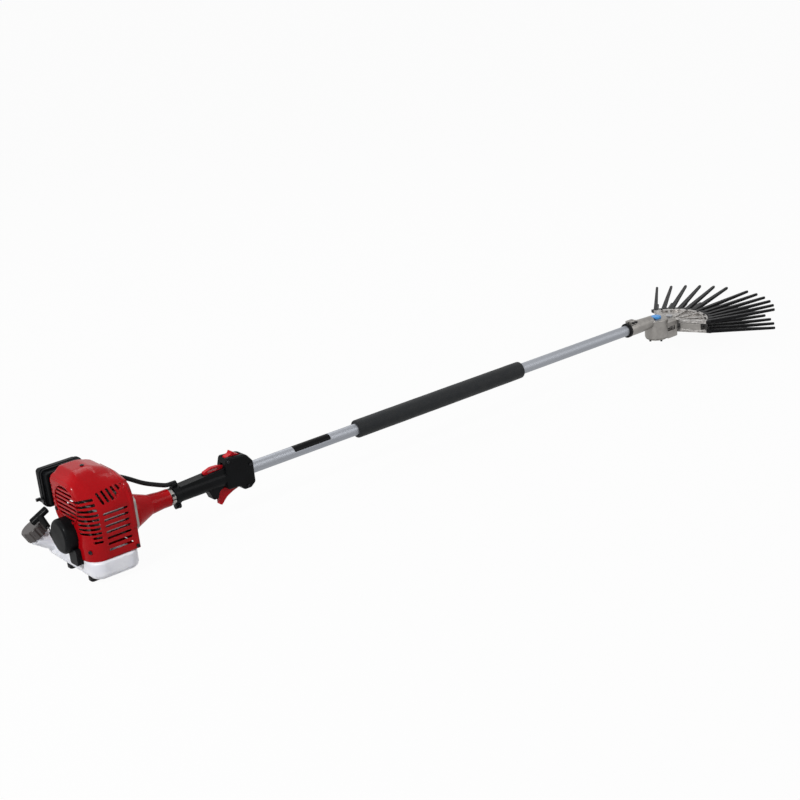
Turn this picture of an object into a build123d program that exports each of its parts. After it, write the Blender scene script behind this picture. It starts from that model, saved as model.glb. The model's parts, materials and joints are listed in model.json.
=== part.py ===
from build123d import *
from math import asin, atan, atan2, cos, degrees, pi, radians, sin, sqrt
import os

# Petrol coffee harvester, in millimetres. X runs along the pole from the engine to the
# picking head, Y points left and Z up. Every piece is drawn about the pole's axis, with
# X = 0 at the front end of the clutch housing. At the end everything is moved so that the
# origin lies on the floor at the middle of the overall length.

# Fits
RUN = 0.05
CLEAR = 0.3

# Pole
TUBE_D = 28.0
TUBE_WALL = 1.5
TUBE_LEN = 1500.0
TUBE_REAR_SEAT = 40.0
TUBE_HEAD_SEAT = 34.0
SHAFT_D = 8.0
BUSH_LEN = 25.0
BUSH_COUNT = 5
GRIP_START = 500.0
GRIP_LEN = 526.0
GRIP_D = 44.0
GRIP_END_R = 5.0

# Clutch housing and clutch
CONE_LEN = 116.0
CONE_FRONT_X = -10.0
CONE_FLANGE_R = 45.0
CONE_FLANGE_T = 7.0
CONE_BACK_R = 38.5
CONE_FRONT_R = 19.5
CLUTCH_R = 33.0
CLUTCH_LEN = 21.0
CLUTCH_WALL = 2.5
CLUTCH_BEARING_R = 15.0
CLUTCH_BEARING_W = 14.0
HUB_R = 8.0
CLAMP_RING_W = 8.0
CLAMP_RING_R = 19.0

# Engine casing
PLATE_T = 6.0
SHROUD_LEN = 113.0
SHROUD_WALL = 2.5
SHROUD_RIGHT = 86.0
SHROUD_LEFT = 60.0
SHROUD_TOP = 134.0
SHROUD_BASE = 48.0
SHROUD_CORNER_R = 42.0
FAN_SCROLL_R = 48.0
CRANKCASE_R = 40.0
CRANK_R = 7.0
CRANK_BEARING_R = 16.0
CRANK_BEARING_W = 11.0
FLYWHEEL_R = 42.0
BLADE_COUNT = 14

# Grilles of the casing
SLOT_H = 5.5
REAR_SLATS = 8
REAR_SLAT_PITCH = 9.6
CORNER_SLATS = 10
CORNER_SLAT_PITCH = 9.8
SIDE_SLATS = 7
SIDE_SLAT_PITCH = 13.0
DOME_SLOTS = 6
DOME_SLOT_PITCH = 10.5
EDGE_HOLES = 5

# Fuel tank
TANK_LEN = 109.0
TANK_RIGHT = 88.0
TANK_LEFT = 150.0
TANK_H = 40.0
TANK_WALL = 3.0
TANK_CORNER_R = 26.0
FOOT_H = 10.0
FILLER_R = 22.0
CAP_R = 26.0
CAP_H = 25.0
CAP_FLUTES = 12

# Recoil starter
DRUM_R = 38.0
DRUM_DEPTH = 27.0
DRUM_WALL = 2.5
REEL_R = 28.0
REEL_W = 11.0
ROPE_D = 3.5

# Air filter and carburettor
FILTER_LEN = 98.0
FILTER_H = 84.0
FILTER_BASE_T = 20.0
FILTER_COVER_T = 28.0
FILTER_CORNER_R = 11.0
CARB_REACH = 30.0

# Handle
HANDLE_START = 15.0
HANDLE_END = 202.0
GRIP_HALF_W = 17.5
GRIP_HALF_H = 18.5
HEAD_HALF_W = 20.0
TRIGGER_T = 10.0
LEVER_T = 9.6
SWITCH_W = 17.0
COLLAR_W = 13.0
COLLAR_R = 20.0
CONDUIT_D = 10.0

# Picking head
CASE_R = 32.0
CASE_TOP = 6.0
CASE_BASE = 47.0
NECK_R = 18.5
CRANK_X = 1537.0
PIVOT_REACH = 53.0
MID_DROP = 29.0
PLATE_OFFSET = 9.0
PINION_TEETH = 10
CROWN_TEETH = 30
CROWN_R = 22.5
TOOTH_FACE = 8.0
CRANK_PIN_R = 4.0
CRANK_THROW = 4.0
SWING_DEG = 4.0
PIVOT_PIN_R = 6.0
CARRIER_T = 8.0
CARRIER_R = 104.0
RAIL_W = 13.0
FINGERS = 6
BASE_FIRST_DEG = 4.0
BASE_STEP_DEG = 11.7
TIP_R = 264.0
TIP_CENTRE_SHIFT = 26.0
TIP_FIRST_DEG = 8.0
TIP_STEP_DEG = 9.0
TIP_RISE = 18.0
TIP_DROP = 8.0

# Stations along the pole
tube_r = TUBE_D / 2
tube_x0 = -TUBE_REAR_SEAT
tube_x1 = tube_x0 + TUBE_LEN
neck_x0 = tube_x1 - TUBE_HEAD_SEAT
plate_x1 = CONE_FRONT_X - CONE_LEN
plate_x0 = plate_x1 - PLATE_T
shroud_x0 = plate_x0 - SHROUD_LEN
drum_x0 = shroud_x0 - DRUM_DEPTH
tank_x0 = shroud_x0 + 2.0
tank_z1 = -SHROUD_BASE
tank_z0 = tank_z1 - TANK_H
pivot_x = CRANK_X + PIVOT_REACH


def box(x0, x1, y0, y1, z0, z1):
    """Block between two corners."""
    centre = Pos((x0 + x1) / 2, (y0 + y1) / 2, (z0 + z1) / 2)
    return centre * Box(x1 - x0, y1 - y0, z1 - z0)


def rod_x(r, x0, x1, y=0.0, z=0.0):
    """Cylinder along X."""
    return Pos((x0 + x1) / 2, y, z) * Rot(0, 90, 0) * Cylinder(r, x1 - x0)


def rod_y(r, y0, y1, x=0.0, z=0.0):
    """Cylinder along Y."""
    return Pos(x, (y0 + y1) / 2, z) * Rot(90, 0, 0) * Cylinder(r, y1 - y0)


def rod_z(r, z0, z1, x=0.0, y=0.0):
    """Cylinder along Z."""
    return Pos(x, y, (z0 + z1) / 2) * Cylinder(r, z1 - z0)


def ring_x(r_out, r_in, x0, x1):
    """Plain ring about the pole's axis."""
    return rod_x(r_out, x0, x1) - rod_x(r_in, x0, x1)


def outline(points, radii):
    """Closed face whose corners are rounded, one radius for each corner."""
    return make_face(FilletPolyline(*points, radius=radii, close=True))


def turned_x(points):
    """Solid of revolution about X from a closed (x, radius) outline."""
    return revolve(make_face(Polyline(*[(x, r) for x, r in points], close=True)), Axis.X)


def slab_xz(face, y0, y1):
    """Side outline in X and Z given a thickness between two Y values."""
    return Pos(0, y1, 0) * extrude(Plane.XZ * face, y1 - y0)


def slab_yz(face, x0, x1):
    """End outline in Y and Z given a length between two X values."""
    return Pos(x0, 0, 0) * extrude(Plane.YZ * face, x1 - x0)


def slab_xy(face, z0, z1):
    """Plan outline in X and Y given a height between two Z values."""
    return Pos(0, 0, z0) * extrude(face, z1 - z0)


def along(origin, direction, x_dir=None):
    """Plane at a point whose normal is the given direction."""
    return Plane(origin=origin, x_dir=x_dir, z_dir=direction)


def cap_screw(head_r, head_h, shank_r, shank_len):
    """Socket screw along +Z: the head stands above Z = 0 and the shank lies below."""
    socket = Pos(0, 0, head_h) * extrude(RegularPolygon(head_r * 0.5, 6), -head_h * 0.6)
    return Pos(0, 0, head_h / 2) * Cylinder(head_r, head_h) - socket + Pos(0, 0, -shank_len / 2) * Cylinder(
        shank_r, shank_len
    )


def tube_path(points, radii, d):
    """Round tube along straight runs joined by tangent arcs."""
    path = FilletPolyline(*points, radius=radii)
    section = along(path @ 0, path % 0) * Circle(d / 2)
    return sweep(section, path=path)


def bend_radii(points):
    """Largest even bends that the runs of a route allow."""
    vectors = [Vector(p) for p in points]
    radii = []
    for a, b, c in zip(vectors, vectors[1:], vectors[2:]):
        turn = (b - a).get_angle(c - b)
        shorter = min((b - a).length, (c - b).length)
        radii.append(0.45 * shorter / sin(radians(turn / 2)) * cos(radians(turn / 2)))
    return radii


nodes = {}
pivots = {}


# Pole: tube, drive shaft, bushes and foam grip
nodes["shaft_tube"] = ring_x(tube_r, tube_r - TUBE_WALL, tube_x0, tube_x1)
nodes["foam_grip"] = fillet(
    ring_x(GRIP_D / 2, tube_r + RUN, GRIP_START, GRIP_START + GRIP_LEN)
    .edges()
    .filter_by(GeomType.CIRCLE)
    .filter_by(lambda e: abs(e.radius - GRIP_D / 2) < 0.01),
    GRIP_END_R,
)
bush_step = TUBE_LEN / BUSH_COUNT
bush_xs = [tube_x0 + bush_step * (k + 0.5) - BUSH_LEN / 2 for k in range(BUSH_COUNT)]
nodes["shaft_bushes"] = Compound(
    [ring_x(tube_r - TUBE_WALL, SHAFT_D / 2 + RUN, x, x + BUSH_LEN) for x in bush_xs]
)

# Clutch: shoes on the crankshaft, drum on the drive shaft, red cone round both
clutch_x1 = -97.0
clutch_x0 = clutch_x1 - CLUTCH_LEN
drum_floor_t = 4.0
hub_end = clutch_x1 + 27.0
bearing_x0 = clutch_x1 + 7.0
bearing_x1 = bearing_x0 + CLUTCH_BEARING_W
shaft_x0 = clutch_x1 + 12.0
crank_x1 = clutch_x1 - drum_floor_t - 3.0
shoe_r = CLUTCH_R - CLUTCH_WALL - 1.0
nodes["clutch_drum"] = (
    rod_x(CLUTCH_R, clutch_x0, clutch_x1)
    - rod_x(CLUTCH_R - CLUTCH_WALL, clutch_x0, clutch_x1 - drum_floor_t)
    + rod_x(HUB_R, clutch_x1, hub_end)
    - rod_x(SHAFT_D / 2, shaft_x0, hub_end)
)
shoe_gap = 5.0
shoes = rod_x(shoe_r, clutch_x0 + 2.0, crank_x1) - rod_x(CRANK_R, clutch_x0, clutch_x1)
shoes -= box(clutch_x0, clutch_x1, -shoe_gap / 2, shoe_gap / 2, -shoe_r, shoe_r)
nodes["clutch_shoes"] = shoes
clutch_bearing = ring_x(CLUTCH_BEARING_R, HUB_R + RUN, bearing_x0, bearing_x1)

cone_cavity_r = CLUTCH_R + 2.5
cone_knee_x = -58.0
cone_knee_r = CONE_FRONT_R + 3.0
cone_neck_x = -28.0
cone_outer = [
    (plate_x1, CONE_FLANGE_R),
    (plate_x1 + CONE_FLANGE_T, CONE_FLANGE_R),
    (plate_x1 + CONE_FLANGE_T + 2.0, CONE_BACK_R + 1.5),
    (clutch_x1 - 1.0, CONE_BACK_R),
    (cone_knee_x, cone_knee_r),
    (cone_neck_x, CONE_FRONT_R),
    (CONE_FRONT_X, CONE_FRONT_R),
]
cone_inner = [
    (CONE_FRONT_X, tube_r + RUN),
    (tube_x0, tube_r + RUN),
    (tube_x0, HUB_R + 3.0),
    (bearing_x1, HUB_R + 3.0),
    (bearing_x1, CLUTCH_BEARING_R),
    (bearing_x0, CLUTCH_BEARING_R),
    (bearing_x0 - 2.0, cone_cavity_r - 8.0),
    (clutch_x1 + 2.0, cone_cavity_r),
    (plate_x1, cone_cavity_r),
]
clutch_housing = turned_x(cone_outer + cone_inner)
housing_screw = cap_screw(3.6, 5.0, 2.0, CONE_FLANGE_T)
cone_bolt_r = CONE_FLANGE_R - 4.0
housing_screws = [
    along((plate_x1 + CONE_FLANGE_T, cone_bolt_r * cos(a), cone_bolt_r * sin(a)), (1, 0, 0)) * housing_screw
    for a in [radians(45 + 90 * k) for k in range(4)]
]
for screw in housing_screws:
    clutch_housing -= screw
nodes["clutch_housing"] = clutch_housing

clamp_slot = 3.0
clamp_x1 = CONE_FRONT_X + CLAMP_RING_W
clamp_ring = ring_x(CLAMP_RING_R, tube_r + RUN, CONE_FRONT_X, clamp_x1)
clamp_ears = box(CONE_FRONT_X, clamp_x1, -CLAMP_RING_R - 4.0, -tube_r - 2.0, -7.0, 7.0)
clamp_ring = clamp_ring + clamp_ears - rod_x(tube_r + RUN, CONE_FRONT_X - 1.0, clamp_x1 + 1.0)
clamp_ring -= box(CONE_FRONT_X, clamp_x1, -CLAMP_RING_R - 5.0, 0.0, -clamp_slot / 2, clamp_slot / 2)
clamp_mid = (CONE_FRONT_X + CLAMP_RING_W / 2, -CLAMP_RING_R + 0.5, 7.0)
clamp_screw = along(clamp_mid, (0, 0, 1)) * cap_screw(2.9, 4.0, 1.8, 14.0)
nodes["tube_clamp_ring"] = clamp_ring - clamp_screw

# Crankcase with its front plate, crankshaft and bearings
case_x0 = plate_x0 - 73.0
bearing_a = case_x0 + 2.0
bearing_b = plate_x0 - 16.0
web_x0 = bearing_a + CRANK_BEARING_W + 10.0
web_t = 8.0
pin_len = 8.0
web_r = CRANKCASE_R - 10.0
crank_offset = 14.0
plate_right = SHROUD_RIGHT - 3.0
plate_left = 46.0
plate_top = 64.0
plate_low = SHROUD_BASE - 4.0
pad_top = CRANKCASE_R
plate_face = outline(
    [
        (-plate_right, -2.0),
        (-CRANKCASE_R, -plate_low),
        (plate_left, -plate_low),
        (plate_left, plate_top),
        (-plate_right, plate_top),
    ],
    [10.0, 14.0, 20.0, 20.0, 14.0],
)
crankcase = rod_x(CRANKCASE_R, case_x0, plate_x0) + slab_yz(plate_face, plate_x0, plate_x1)
crankcase += box(case_x0, plate_x0 - 22.0, -30.0, 30.0, pad_top - 16.0, pad_top)
crankcase -= rod_x(CRANK_BEARING_R, case_x0, plate_x1)
crankcase -= rod_x(web_r + 3.0, web_x0 - 3.0, bearing_b - 3.0)
crank_bearings = [
    ring_x(CRANK_BEARING_R, CRANK_R + RUN, x, x + CRANK_BEARING_W)
    for x in (bearing_a, bearing_b)
]
nodes["engine_bearings"] = Compound(crank_bearings + [clutch_bearing])
nodes["crankcase"] = crankcase
shaft_rear = shroud_x0 - 5.0
web_x2 = web_x0 + web_t + pin_len
crankshaft = rod_x(CRANK_R, shaft_rear, web_x0) + rod_x(CRANK_R, web_x2 + web_t, crank_x1)
for x in (web_x0, web_x2):
    web = rod_x(web_r, x, x + web_t) - box(x, x + web_t, -web_r, web_r, 6.0, web_r)
    crankshaft += web + box(x, x + web_t, -8.0, 8.0, 0.0, crank_offset + 7.0)
crankshaft += rod_x(6.0, web_x0, web_x2 + web_t, 0.0, crank_offset)
nodes["crankshaft"] = crankshaft

fly_x0 = shroud_x0 + SHROUD_WALL + 4.0
fly_len = 22.0
fly_disc = 5.0
flywheel = rod_x(FLYWHEEL_R, fly_x0 + fly_len - fly_disc, fly_x0 + fly_len)
flywheel += rod_x(14.0, fly_x0 + 4.0, fly_x0 + fly_len)
for k in range(BLADE_COUNT):
    blade = box(fly_x0, fly_x0 + fly_len - fly_disc, -1.2, 1.2, FLYWHEEL_R * 0.58, FLYWHEEL_R - 1.0)
    flywheel += Rot(360.0 * k / BLADE_COUNT, 0, 0) * blade
nodes["flywheel_fan"] = flywheel - rod_x(CRANK_R, fly_x0, fly_x0 + fly_len)

# Cylinder, plug, muffler
cyl_x = case_x0 + 27.0
fin_half_x = 33.0
fin_half_y = 34.0
fin_count = 6
fin_t = 2.5
fin_pitch = 8.6
barrel_top = pad_top + 56.0
cylinder = rod_z(25.0, pad_top, barrel_top, cyl_x)
for k in range(fin_count):
    z = pad_top + 6.0 + fin_pitch * k
    fin = box(cyl_x - fin_half_x, cyl_x + fin_half_x, -fin_half_y, fin_half_y, z, z + fin_t)
    cylinder += fillet(fin.edges().filter_by(Axis.Z), 10.0)
nodes["cylinder"] = cylinder
plug_r = 5.0
nodes["spark_plug"] = (
    rod_z(plug_r, barrel_top, barrel_top + 16.0, cyl_x)
    + slab_xy(Pos(cyl_x, 0) * RegularPolygon(8.5, 6), barrel_top, barrel_top + 5.0)
)
boot_z0 = barrel_top + 8.0
boot_z1 = SHROUD_TOP - SHROUD_WALL - 5.0
boot = rod_z(8.5, boot_z0, boot_z1, cyl_x) + rod_x(4.0, cyl_x - 22.0, cyl_x, 0.0, boot_z1 - 5.0)
nodes["plug_boot"] = boot - rod_z(plug_r, boot_z0, barrel_top + 16.0, cyl_x)
muffler_y0 = -SHROUD_RIGHT + SHROUD_WALL + 3.0
muffler_y1 = -CRANKCASE_R - 3.0
muffler = fillet(box(cyl_x - 32.0, cyl_x + 30.0, muffler_y0, muffler_y1, 0.0, 60.0).edges(), 8.0)
nodes["muffler"] = muffler + box(cyl_x - 12.0, cyl_x + 12.0, muffler_y1 - 2.0, -fin_half_y, 47.0, 57.0)

# Red casing: three rounded outlines crossed, hollowed, then opened by its grilles
side_break = 60.0
dome_point = Vector(shroud_x0, -SHROUD_CORNER_R - 6.0, 94.0)
dome_normal = Vector(-0.318, -0.796, 0.515).normalized()


def casing_block(inset):
    """The casing's outside for inset 0, its hollow for a positive inset, a rim for a negative one."""
    plan = outline(
        [
            (shroud_x0, SHROUD_LEFT),
            (shroud_x0, -SHROUD_RIGHT),
            (plate_x0, -SHROUD_RIGHT),
            (plate_x0, SHROUD_LEFT),
        ],
        [12.0, SHROUD_CORNER_R, 4.0, 4.0],
    )
    rear = outline(
        [
            (-SHROUD_RIGHT, -SHROUD_BASE),
            (0.0, -SHROUD_BASE),
            (0.0, 0.0),
            (FAN_SCROLL_R - 6.0, 24.0),
            (SHROUD_LEFT, 48.0),
            (SHROUD_LEFT - 2.0, 98.0),
            (SHROUD_LEFT - 18.0, SHROUD_TOP + 6.0),
            (-26.0, SHROUD_TOP + 6.0),
            (-SHROUD_RIGHT + 10.0, 104.0),
            (-SHROUD_RIGHT, side_break),
        ],
        [5.0, 4.0, 4.0, 6.0, 22.0, 22.0, 14.0, 34.0, 36.0, 20.0],
    )
    rear += Circle(FAN_SCROLL_R)
    side = outline(
        [
            (shroud_x0, -SHROUD_BASE - 9.0),
            (shroud_x0, SHROUD_TOP - 19.0),
            (shroud_x0 + 13.0, SHROUD_TOP - 12.0),
            (shroud_x0 + 24.0, SHROUD_TOP),
            (shroud_x0 + 62.0, SHROUD_TOP),
            (plate_x0 - 18.0, SHROUD_TOP - 11.0),
            (plate_x0, SHROUD_TOP - 27.0),
            (plate_x0, -SHROUD_BASE - 9.0),
        ],
        [3.0, 7.0, 4.0, 8.0, 50.0, 36.0, 9.0, 3.0],
    )
    if inset:
        plan = offset(plan, -inset)
        rear = offset(rear, -inset)
        side = offset(side, -inset)
    block = slab_xy(plan, -SHROUD_BASE - 20.0, SHROUD_TOP + 20.0)
    block &= slab_yz(rear, shroud_x0 - 20.0, plate_x0 + 20.0)
    block &= slab_xz(side, -SHROUD_RIGHT - 20.0, SHROUD_LEFT + 20.0)
    above_dome = Pos(0, 0, 150.0) * Box(600.0, 600.0, 300.0)
    return block - along(dome_point - dome_normal * inset, dome_normal) * above_dome


def slot(length, width, depth):
    """Round-ended slot, centred, cut along Z."""
    return extrude(SlotOverall(length, width), depth / 2, both=True)


inside = SHROUD_WALL + 0.5
rim_w = 8.0
rim = casing_block(-1.3) & box(plate_x0 - rim_w, plate_x0, -120.0, SHROUD_LEFT - 34.0, 0.0, SHROUD_TOP + 10.0)
casing = casing_block(0.0) + rim - casing_block(SHROUD_WALL)
front_low = -SHROUD_BASE + 3.0
casing -= box(plate_x0 - inside, plate_x0 + 1.0, -plate_right, SHROUD_LEFT - 6.0, front_low, plate_top - 4.0)
floor_y = (-SHROUD_RIGHT + 12.0, -FAN_SCROLL_R + 10.0)
casing -= box(shroud_x0 + 16.0, plate_x0 - 9.0, *floor_y, -SHROUD_BASE - 1.0, -SHROUD_BASE + 9.0)
casing -= box(shroud_x0 + 30.0, plate_x0 + 12.0, 24.0, SHROUD_LEFT + 12.0, 42.0, SHROUD_TOP - 26.0)
casing -= box(cyl_x, cyl_x + 24.0, 20.0, SHROUD_LEFT + 12.0, 22.0, 46.0)
casing -= rod_x(CRANKCASE_R + 4.0, shroud_x0 + 34.0, plate_x0 + 1.0)
casing -= rod_x(20.0, shroud_x0 - 1.0, shroud_x0 + inside)
grille_y = -9.0
grille_z = 68.0
grille_w = 46.0
grille_h = 40.0
oval = slab_yz(Pos(grille_y, grille_z) * Ellipse(grille_w, grille_h), shroud_x0 - 2.0, shroud_x0 + 4.0)
rim_face = Pos(grille_y, grille_z) * Ellipse(grille_w + 3.0, grille_h + 3.0)
oval_rim = slab_yz(rim_face, shroud_x0 - 1.6, shroud_x0 + 2.4)
casing += oval_rim - oval - rod_x(DRUM_R + CLEAR, drum_x0, shroud_x0)
for k in range(REAR_SLATS):
    z = grille_z + REAR_SLAT_PITCH * (k - (REAR_SLATS - 1) / 2)
    casing -= oval & box(shroud_x0 - 2.0, shroud_x0 + 4.0, -80.0, 80.0, z - SLOT_H / 2, z + SLOT_H / 2)
for k in range(EDGE_HOLES):
    casing -= rod_x(2.4, shroud_x0 - 1.0, shroud_x0 + 4.0, SHROUD_LEFT - 13.0, 56.0 + 10.0 * k)
corner_x1 = shroud_x0 + 33.0
corner_y1 = -SHROUD_CORNER_R - 5.0
for k in range(CORNER_SLATS):
    z = 82.0 - CORNER_SLAT_PITCH * k
    y1 = corner_y1 if k < CORNER_SLATS - 2 else corner_y1 - 28.0
    casing -= box(shroud_x0 - 2.0, corner_x1, -SHROUD_RIGHT - 2.0, y1, z - SLOT_H / 2, z + SLOT_H / 2)
side_x0 = shroud_x0 + SHROUD_CORNER_R
side_x1 = plate_x0 - 15.0
for k in range(SIDE_SLATS):
    where = along(((side_x0 + side_x1) / 2, -SHROUD_RIGHT, 50.0 - SIDE_SLAT_PITCH * k), (0, -1, 0), (1, 0, 0))
    casing -= where * slot(side_x1 - side_x0, SLOT_H, 12.0)
dome_across = Vector(1, 0, 0) - dome_normal * dome_normal.X
dome_up = dome_normal.cross(dome_across.normalized())
dome_lean = dome_up - dome_across.normalized() * 0.25
for k in range(DOME_SLOTS):
    x = side_x0 + 4.0 + DOME_SLOT_PITCH * k
    foot = Vector(x, -SHROUD_RIGHT, side_break + 22.0 + 2.5 * k)
    lift = (dome_point - foot).dot(dome_normal) / dome_normal.Y
    where = along(foot + Vector(0, lift, 0), dome_normal, dome_lean)
    casing -= where * slot(29.0, SLOT_H - 0.5, 16.0)
shroud_screw = cap_screw(4.2, 2.5, 1.8, 4.0)
corner_turn = radians(35.0)
corner_dir = (-cos(corner_turn), -sin(corner_turn), 0.0)
corner_mid = (shroud_x0 + SHROUD_CORNER_R, -SHROUD_RIGHT + SHROUD_CORNER_R, -26.0)
screw_where = [
    along([c + SHROUD_CORNER_R * d for c, d in zip(corner_mid, corner_dir)], corner_dir),
    along((plate_x0 - 7.0, -SHROUD_RIGHT, -40.0), (0, -1, 0)),
    along((shroud_x0, SHROUD_LEFT - 18.0, 46.0), (-1, 0, 0)),
    along((cyl_x - 14.0, 0.0, SHROUD_TOP), (0, 0, 1)),
]
shroud_screws = [where * shroud_screw for where in screw_where]
for screw in shroud_screws:
    casing -= screw
nodes["engine_shroud"] = casing
nodes["engine_screws"] = Compound(housing_screws + shroud_screws)

# Fuel tank with its slanted filler, feet and screw cap
cap_axis = Vector(-0.45, 0.13, 0.885).normalized()
cap_mid = Vector(shroud_x0 - 24.0, TANK_LEFT - 25.0, -20.0)
cap_seat = cap_mid - cap_axis * (CAP_H / 2 + CLEAR)
tank_face = outline(
    [
        (tank_x0, -TANK_RIGHT),
        (tank_x0 + TANK_LEN, -TANK_RIGHT),
        (tank_x0 + TANK_LEN, TANK_LEFT),
        (tank_x0, TANK_LEFT),
    ],
    [TANK_CORNER_R, TANK_CORNER_R, TANK_CORNER_R, TANK_CORNER_R],
)
tank = slab_xy(tank_face, tank_z0, tank_z1)
tank = fillet(tank.faces().sort_by(Axis.Z)[0].edges(), 12.0)
tank = fillet(tank.faces().sort_by(Axis.Z)[-1].edges(), 5.0)
neck_plane = along(cap_seat, cap_axis)
neck_low = along(Vector(tank_x0 + 26.0, TANK_LEFT - 38.0, tank_z1 - 15.0), cap_axis, neck_plane.x_dir)
neck_mid = along(cap_seat - cap_axis * 8.0, cap_axis, neck_plane.x_dir)
tank += loft([neck_plane * Circle(FILLER_R), neck_mid * Circle(FILLER_R)])
tank += loft([neck_mid * Circle(FILLER_R), neck_low * Circle(FILLER_R + 2.0)])
tank -= slab_xy(offset(tank_face, -TANK_WALL), tank_z0 + 5.0, tank_z1 - TANK_WALL)
mouth_r = FILLER_R - TANK_WALL
tank -= loft([neck_plane * Circle(mouth_r), neck_mid * Circle(mouth_r)])
tank -= loft([neck_mid * Circle(mouth_r), neck_low * Circle(mouth_r)])
nodes["fuel_tank"] = tank
foot_plan = RectangleRounded(26.0, 20.0, 6.0)
foot_at = [(x, y) for x in (tank_x0 + 17.0, tank_x0 + TANK_LEN - 24.0) for y in (52.0, -44.0)]
feet = [
    fillet(extrude(Pos(x, y, tank_z0) * foot_plan, -FOOT_H).faces().sort_by(Axis.Z)[0].edges(), 2.0)
    for x, y in foot_at
]
nodes["tank_feet"] = Compound(feet)
cap_body = Pos(0, 0, CLEAR + CAP_H / 2) * Cylinder(CAP_R, CAP_H)
cap_body = fillet(cap_body.faces().sort_by(Axis.Z)[-1].edges(), 3.0)
for k in range(CAP_FLUTES):
    a = 2 * pi * k / CAP_FLUTES
    cap_body -= Pos((CAP_R + 2.2) * cos(a), (CAP_R + 2.2) * sin(a), CAP_H / 2) * Cylinder(4.5, CAP_H + 4.0)
cap_body += Pos(0, 0, -3.0) * Cylinder(mouth_r - CLEAR, 6.0 + 2 * CLEAR)
nodes["fuel_cap"] = neck_plane * cap_body
pivots["fuel_cap"] = cap_seat
pivots["fuel_cap_axis"] = cap_axis

# Recoil starter: drum with a post and a rope eyelet, reel, rope and handle
drum_x1 = shroud_x0
reel_x0 = drum_x0 + DRUM_WALL + 3.0
reel_x1 = reel_x0 + REEL_W
reel_mid = (reel_x0 + reel_x1) / 2
handle_at = (104.0, 16.5)
handle_angle = atan2(handle_at[1], handle_at[0]) + asin(REEL_R / sqrt(handle_at[0] ** 2 + handle_at[1] ** 2))
pull = Vector(0, cos(handle_angle), sin(handle_angle))
leave = Vector(reel_mid, REEL_R * sin(handle_angle), -REEL_R * cos(handle_angle))
eyelet_run = sqrt(DRUM_R**2 - REEL_R**2)
eyelet_len = 20.0
rope_slack = 18.0
eyelet_end = leave + pull * (eyelet_run + eyelet_len)
drum = rod_x(DRUM_R, drum_x0, drum_x1)
drum = fillet(drum.faces().sort_by(Axis.X)[0].edges(), 9.0)
spout_ends = ((-9.0, 10.0), (eyelet_len, 6.0))
spout = [along(leave + pull * (eyelet_run + t), pull) * Circle(r) for t, r in spout_ends]
drum += loft(spout)
drum -= rod_x(DRUM_R - DRUM_WALL, drum_x0 + DRUM_WALL, drum_x1)
drum += rod_x(6.0, drum_x0 + 1.0, reel_x1 + 1.0)
drum -= along(leave, pull) * extrude(Circle(ROPE_D / 2 + CLEAR), eyelet_run + eyelet_len + 1.0)
nodes["starter_drum"] = drum
groove = turned_x([(reel_x0 + 2.0, REEL_R), (reel_mid, REEL_R - 6.0), (reel_x1 - 2.0, REEL_R)])
nodes["starter_reel"] = rod_x(REEL_R, reel_x0, reel_x1) - rod_x(6.0 + RUN, reel_x0, reel_x1) - groove
neck_start = eyelet_end + pull * rope_slack
bar_mid = Vector(reel_mid, *handle_at)
neck_run = (bar_mid - neck_start).length - 5.0
bar_dir = Vector(-0.8, 0.6 * sin(handle_angle), -0.6 * cos(handle_angle))
neck = loft([along(neck_start, pull) * Circle(6.0), along(neck_start + pull * neck_run, pull) * Circle(7.5)])
bar_half = 22.0
bar_plane = along(bar_mid - bar_dir * bar_half, bar_dir, pull)
bar = bar_plane * extrude(SlotOverall(17.0, 13.0), 2 * bar_half)
bar = fillet(bar.edges().filter_by(lambda e: e.geom_type in (GeomType.CIRCLE, GeomType.LINE)), 3.0)
rope_in = 8.0
nodes["starter_handle"] = neck + bar - along(neck_start, pull) * extrude(Circle(ROPE_D / 2), rope_in)
nodes["starter_rope"] = along(leave + pull * 4.0, pull) * extrude(
    Circle(ROPE_D / 2), eyelet_run + eyelet_len + rope_slack + rope_in - 4.0
)
pivots["starter_pull_axis"] = pull
pivots["starter_reel"] = Vector(reel_mid, 0, 0)
pivots["starter_rope_start"] = eyelet_end
pivots["starter_rope_end"] = neck_start
leg = box(shroud_x0 - 12.0, tank_x0, -40.0, -6.0, tank_z1 - 12.0, -24.0)
leg = fillet(leg.edges().filter_by(Axis.X), 5.0)
nodes["starter_leg"] = leg - rod_x(DRUM_R + RUN, drum_x0, drum_x1) - box(
    shroud_x0, tank_x0, -60.0, 0.0, tank_z1, 0.0
)

# Carburettor, air filter, choke lever, primer bulb and fuel lines
carb_y0 = fin_half_y
carb_y1 = carb_y0 + CARB_REACH
carb_z0 = pad_top + 16.0
carb_z1 = carb_z0 + 36.0
carb_x0 = cyl_x - 16.0
carb_x1 = cyl_x + 16.0
bulb_r = 9.0
bulb_x = cyl_x - 6.0
bulb_y = (carb_y0 + carb_y1) / 2 + 4.0
bulb_travel = 4.0
bulb_seat = bulb_travel + 2.0
carb = fillet(box(carb_x0, carb_x1, carb_y0 + 6.0, carb_y1 - 4.0, carb_z0, carb_z1).edges(), 3.0)
carb += box(carb_x0 - 2.0, carb_x1 + 2.0, carb_y0, carb_y0 + 6.0, carb_z0 + 6.0, carb_z1 - 4.0)
carb += box(carb_x0 - 2.0, carb_x1 + 2.0, carb_y1 - 4.0, carb_y1, carb_z0 + 6.0, carb_z1 - 4.0)
carb -= rod_z(bulb_r + CLEAR, carb_z0 - 1.0, carb_z0 + bulb_seat, bulb_x, bulb_y)
nodes["carburettor"] = carb
bulb = rod_z(bulb_r, carb_z0 - 7.0, carb_z0 + 1.0, bulb_x, bulb_y)
nodes["primer_bulb"] = fillet(bulb.faces().sort_by(Axis.Z)[0].edges(), 6.0)

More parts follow.
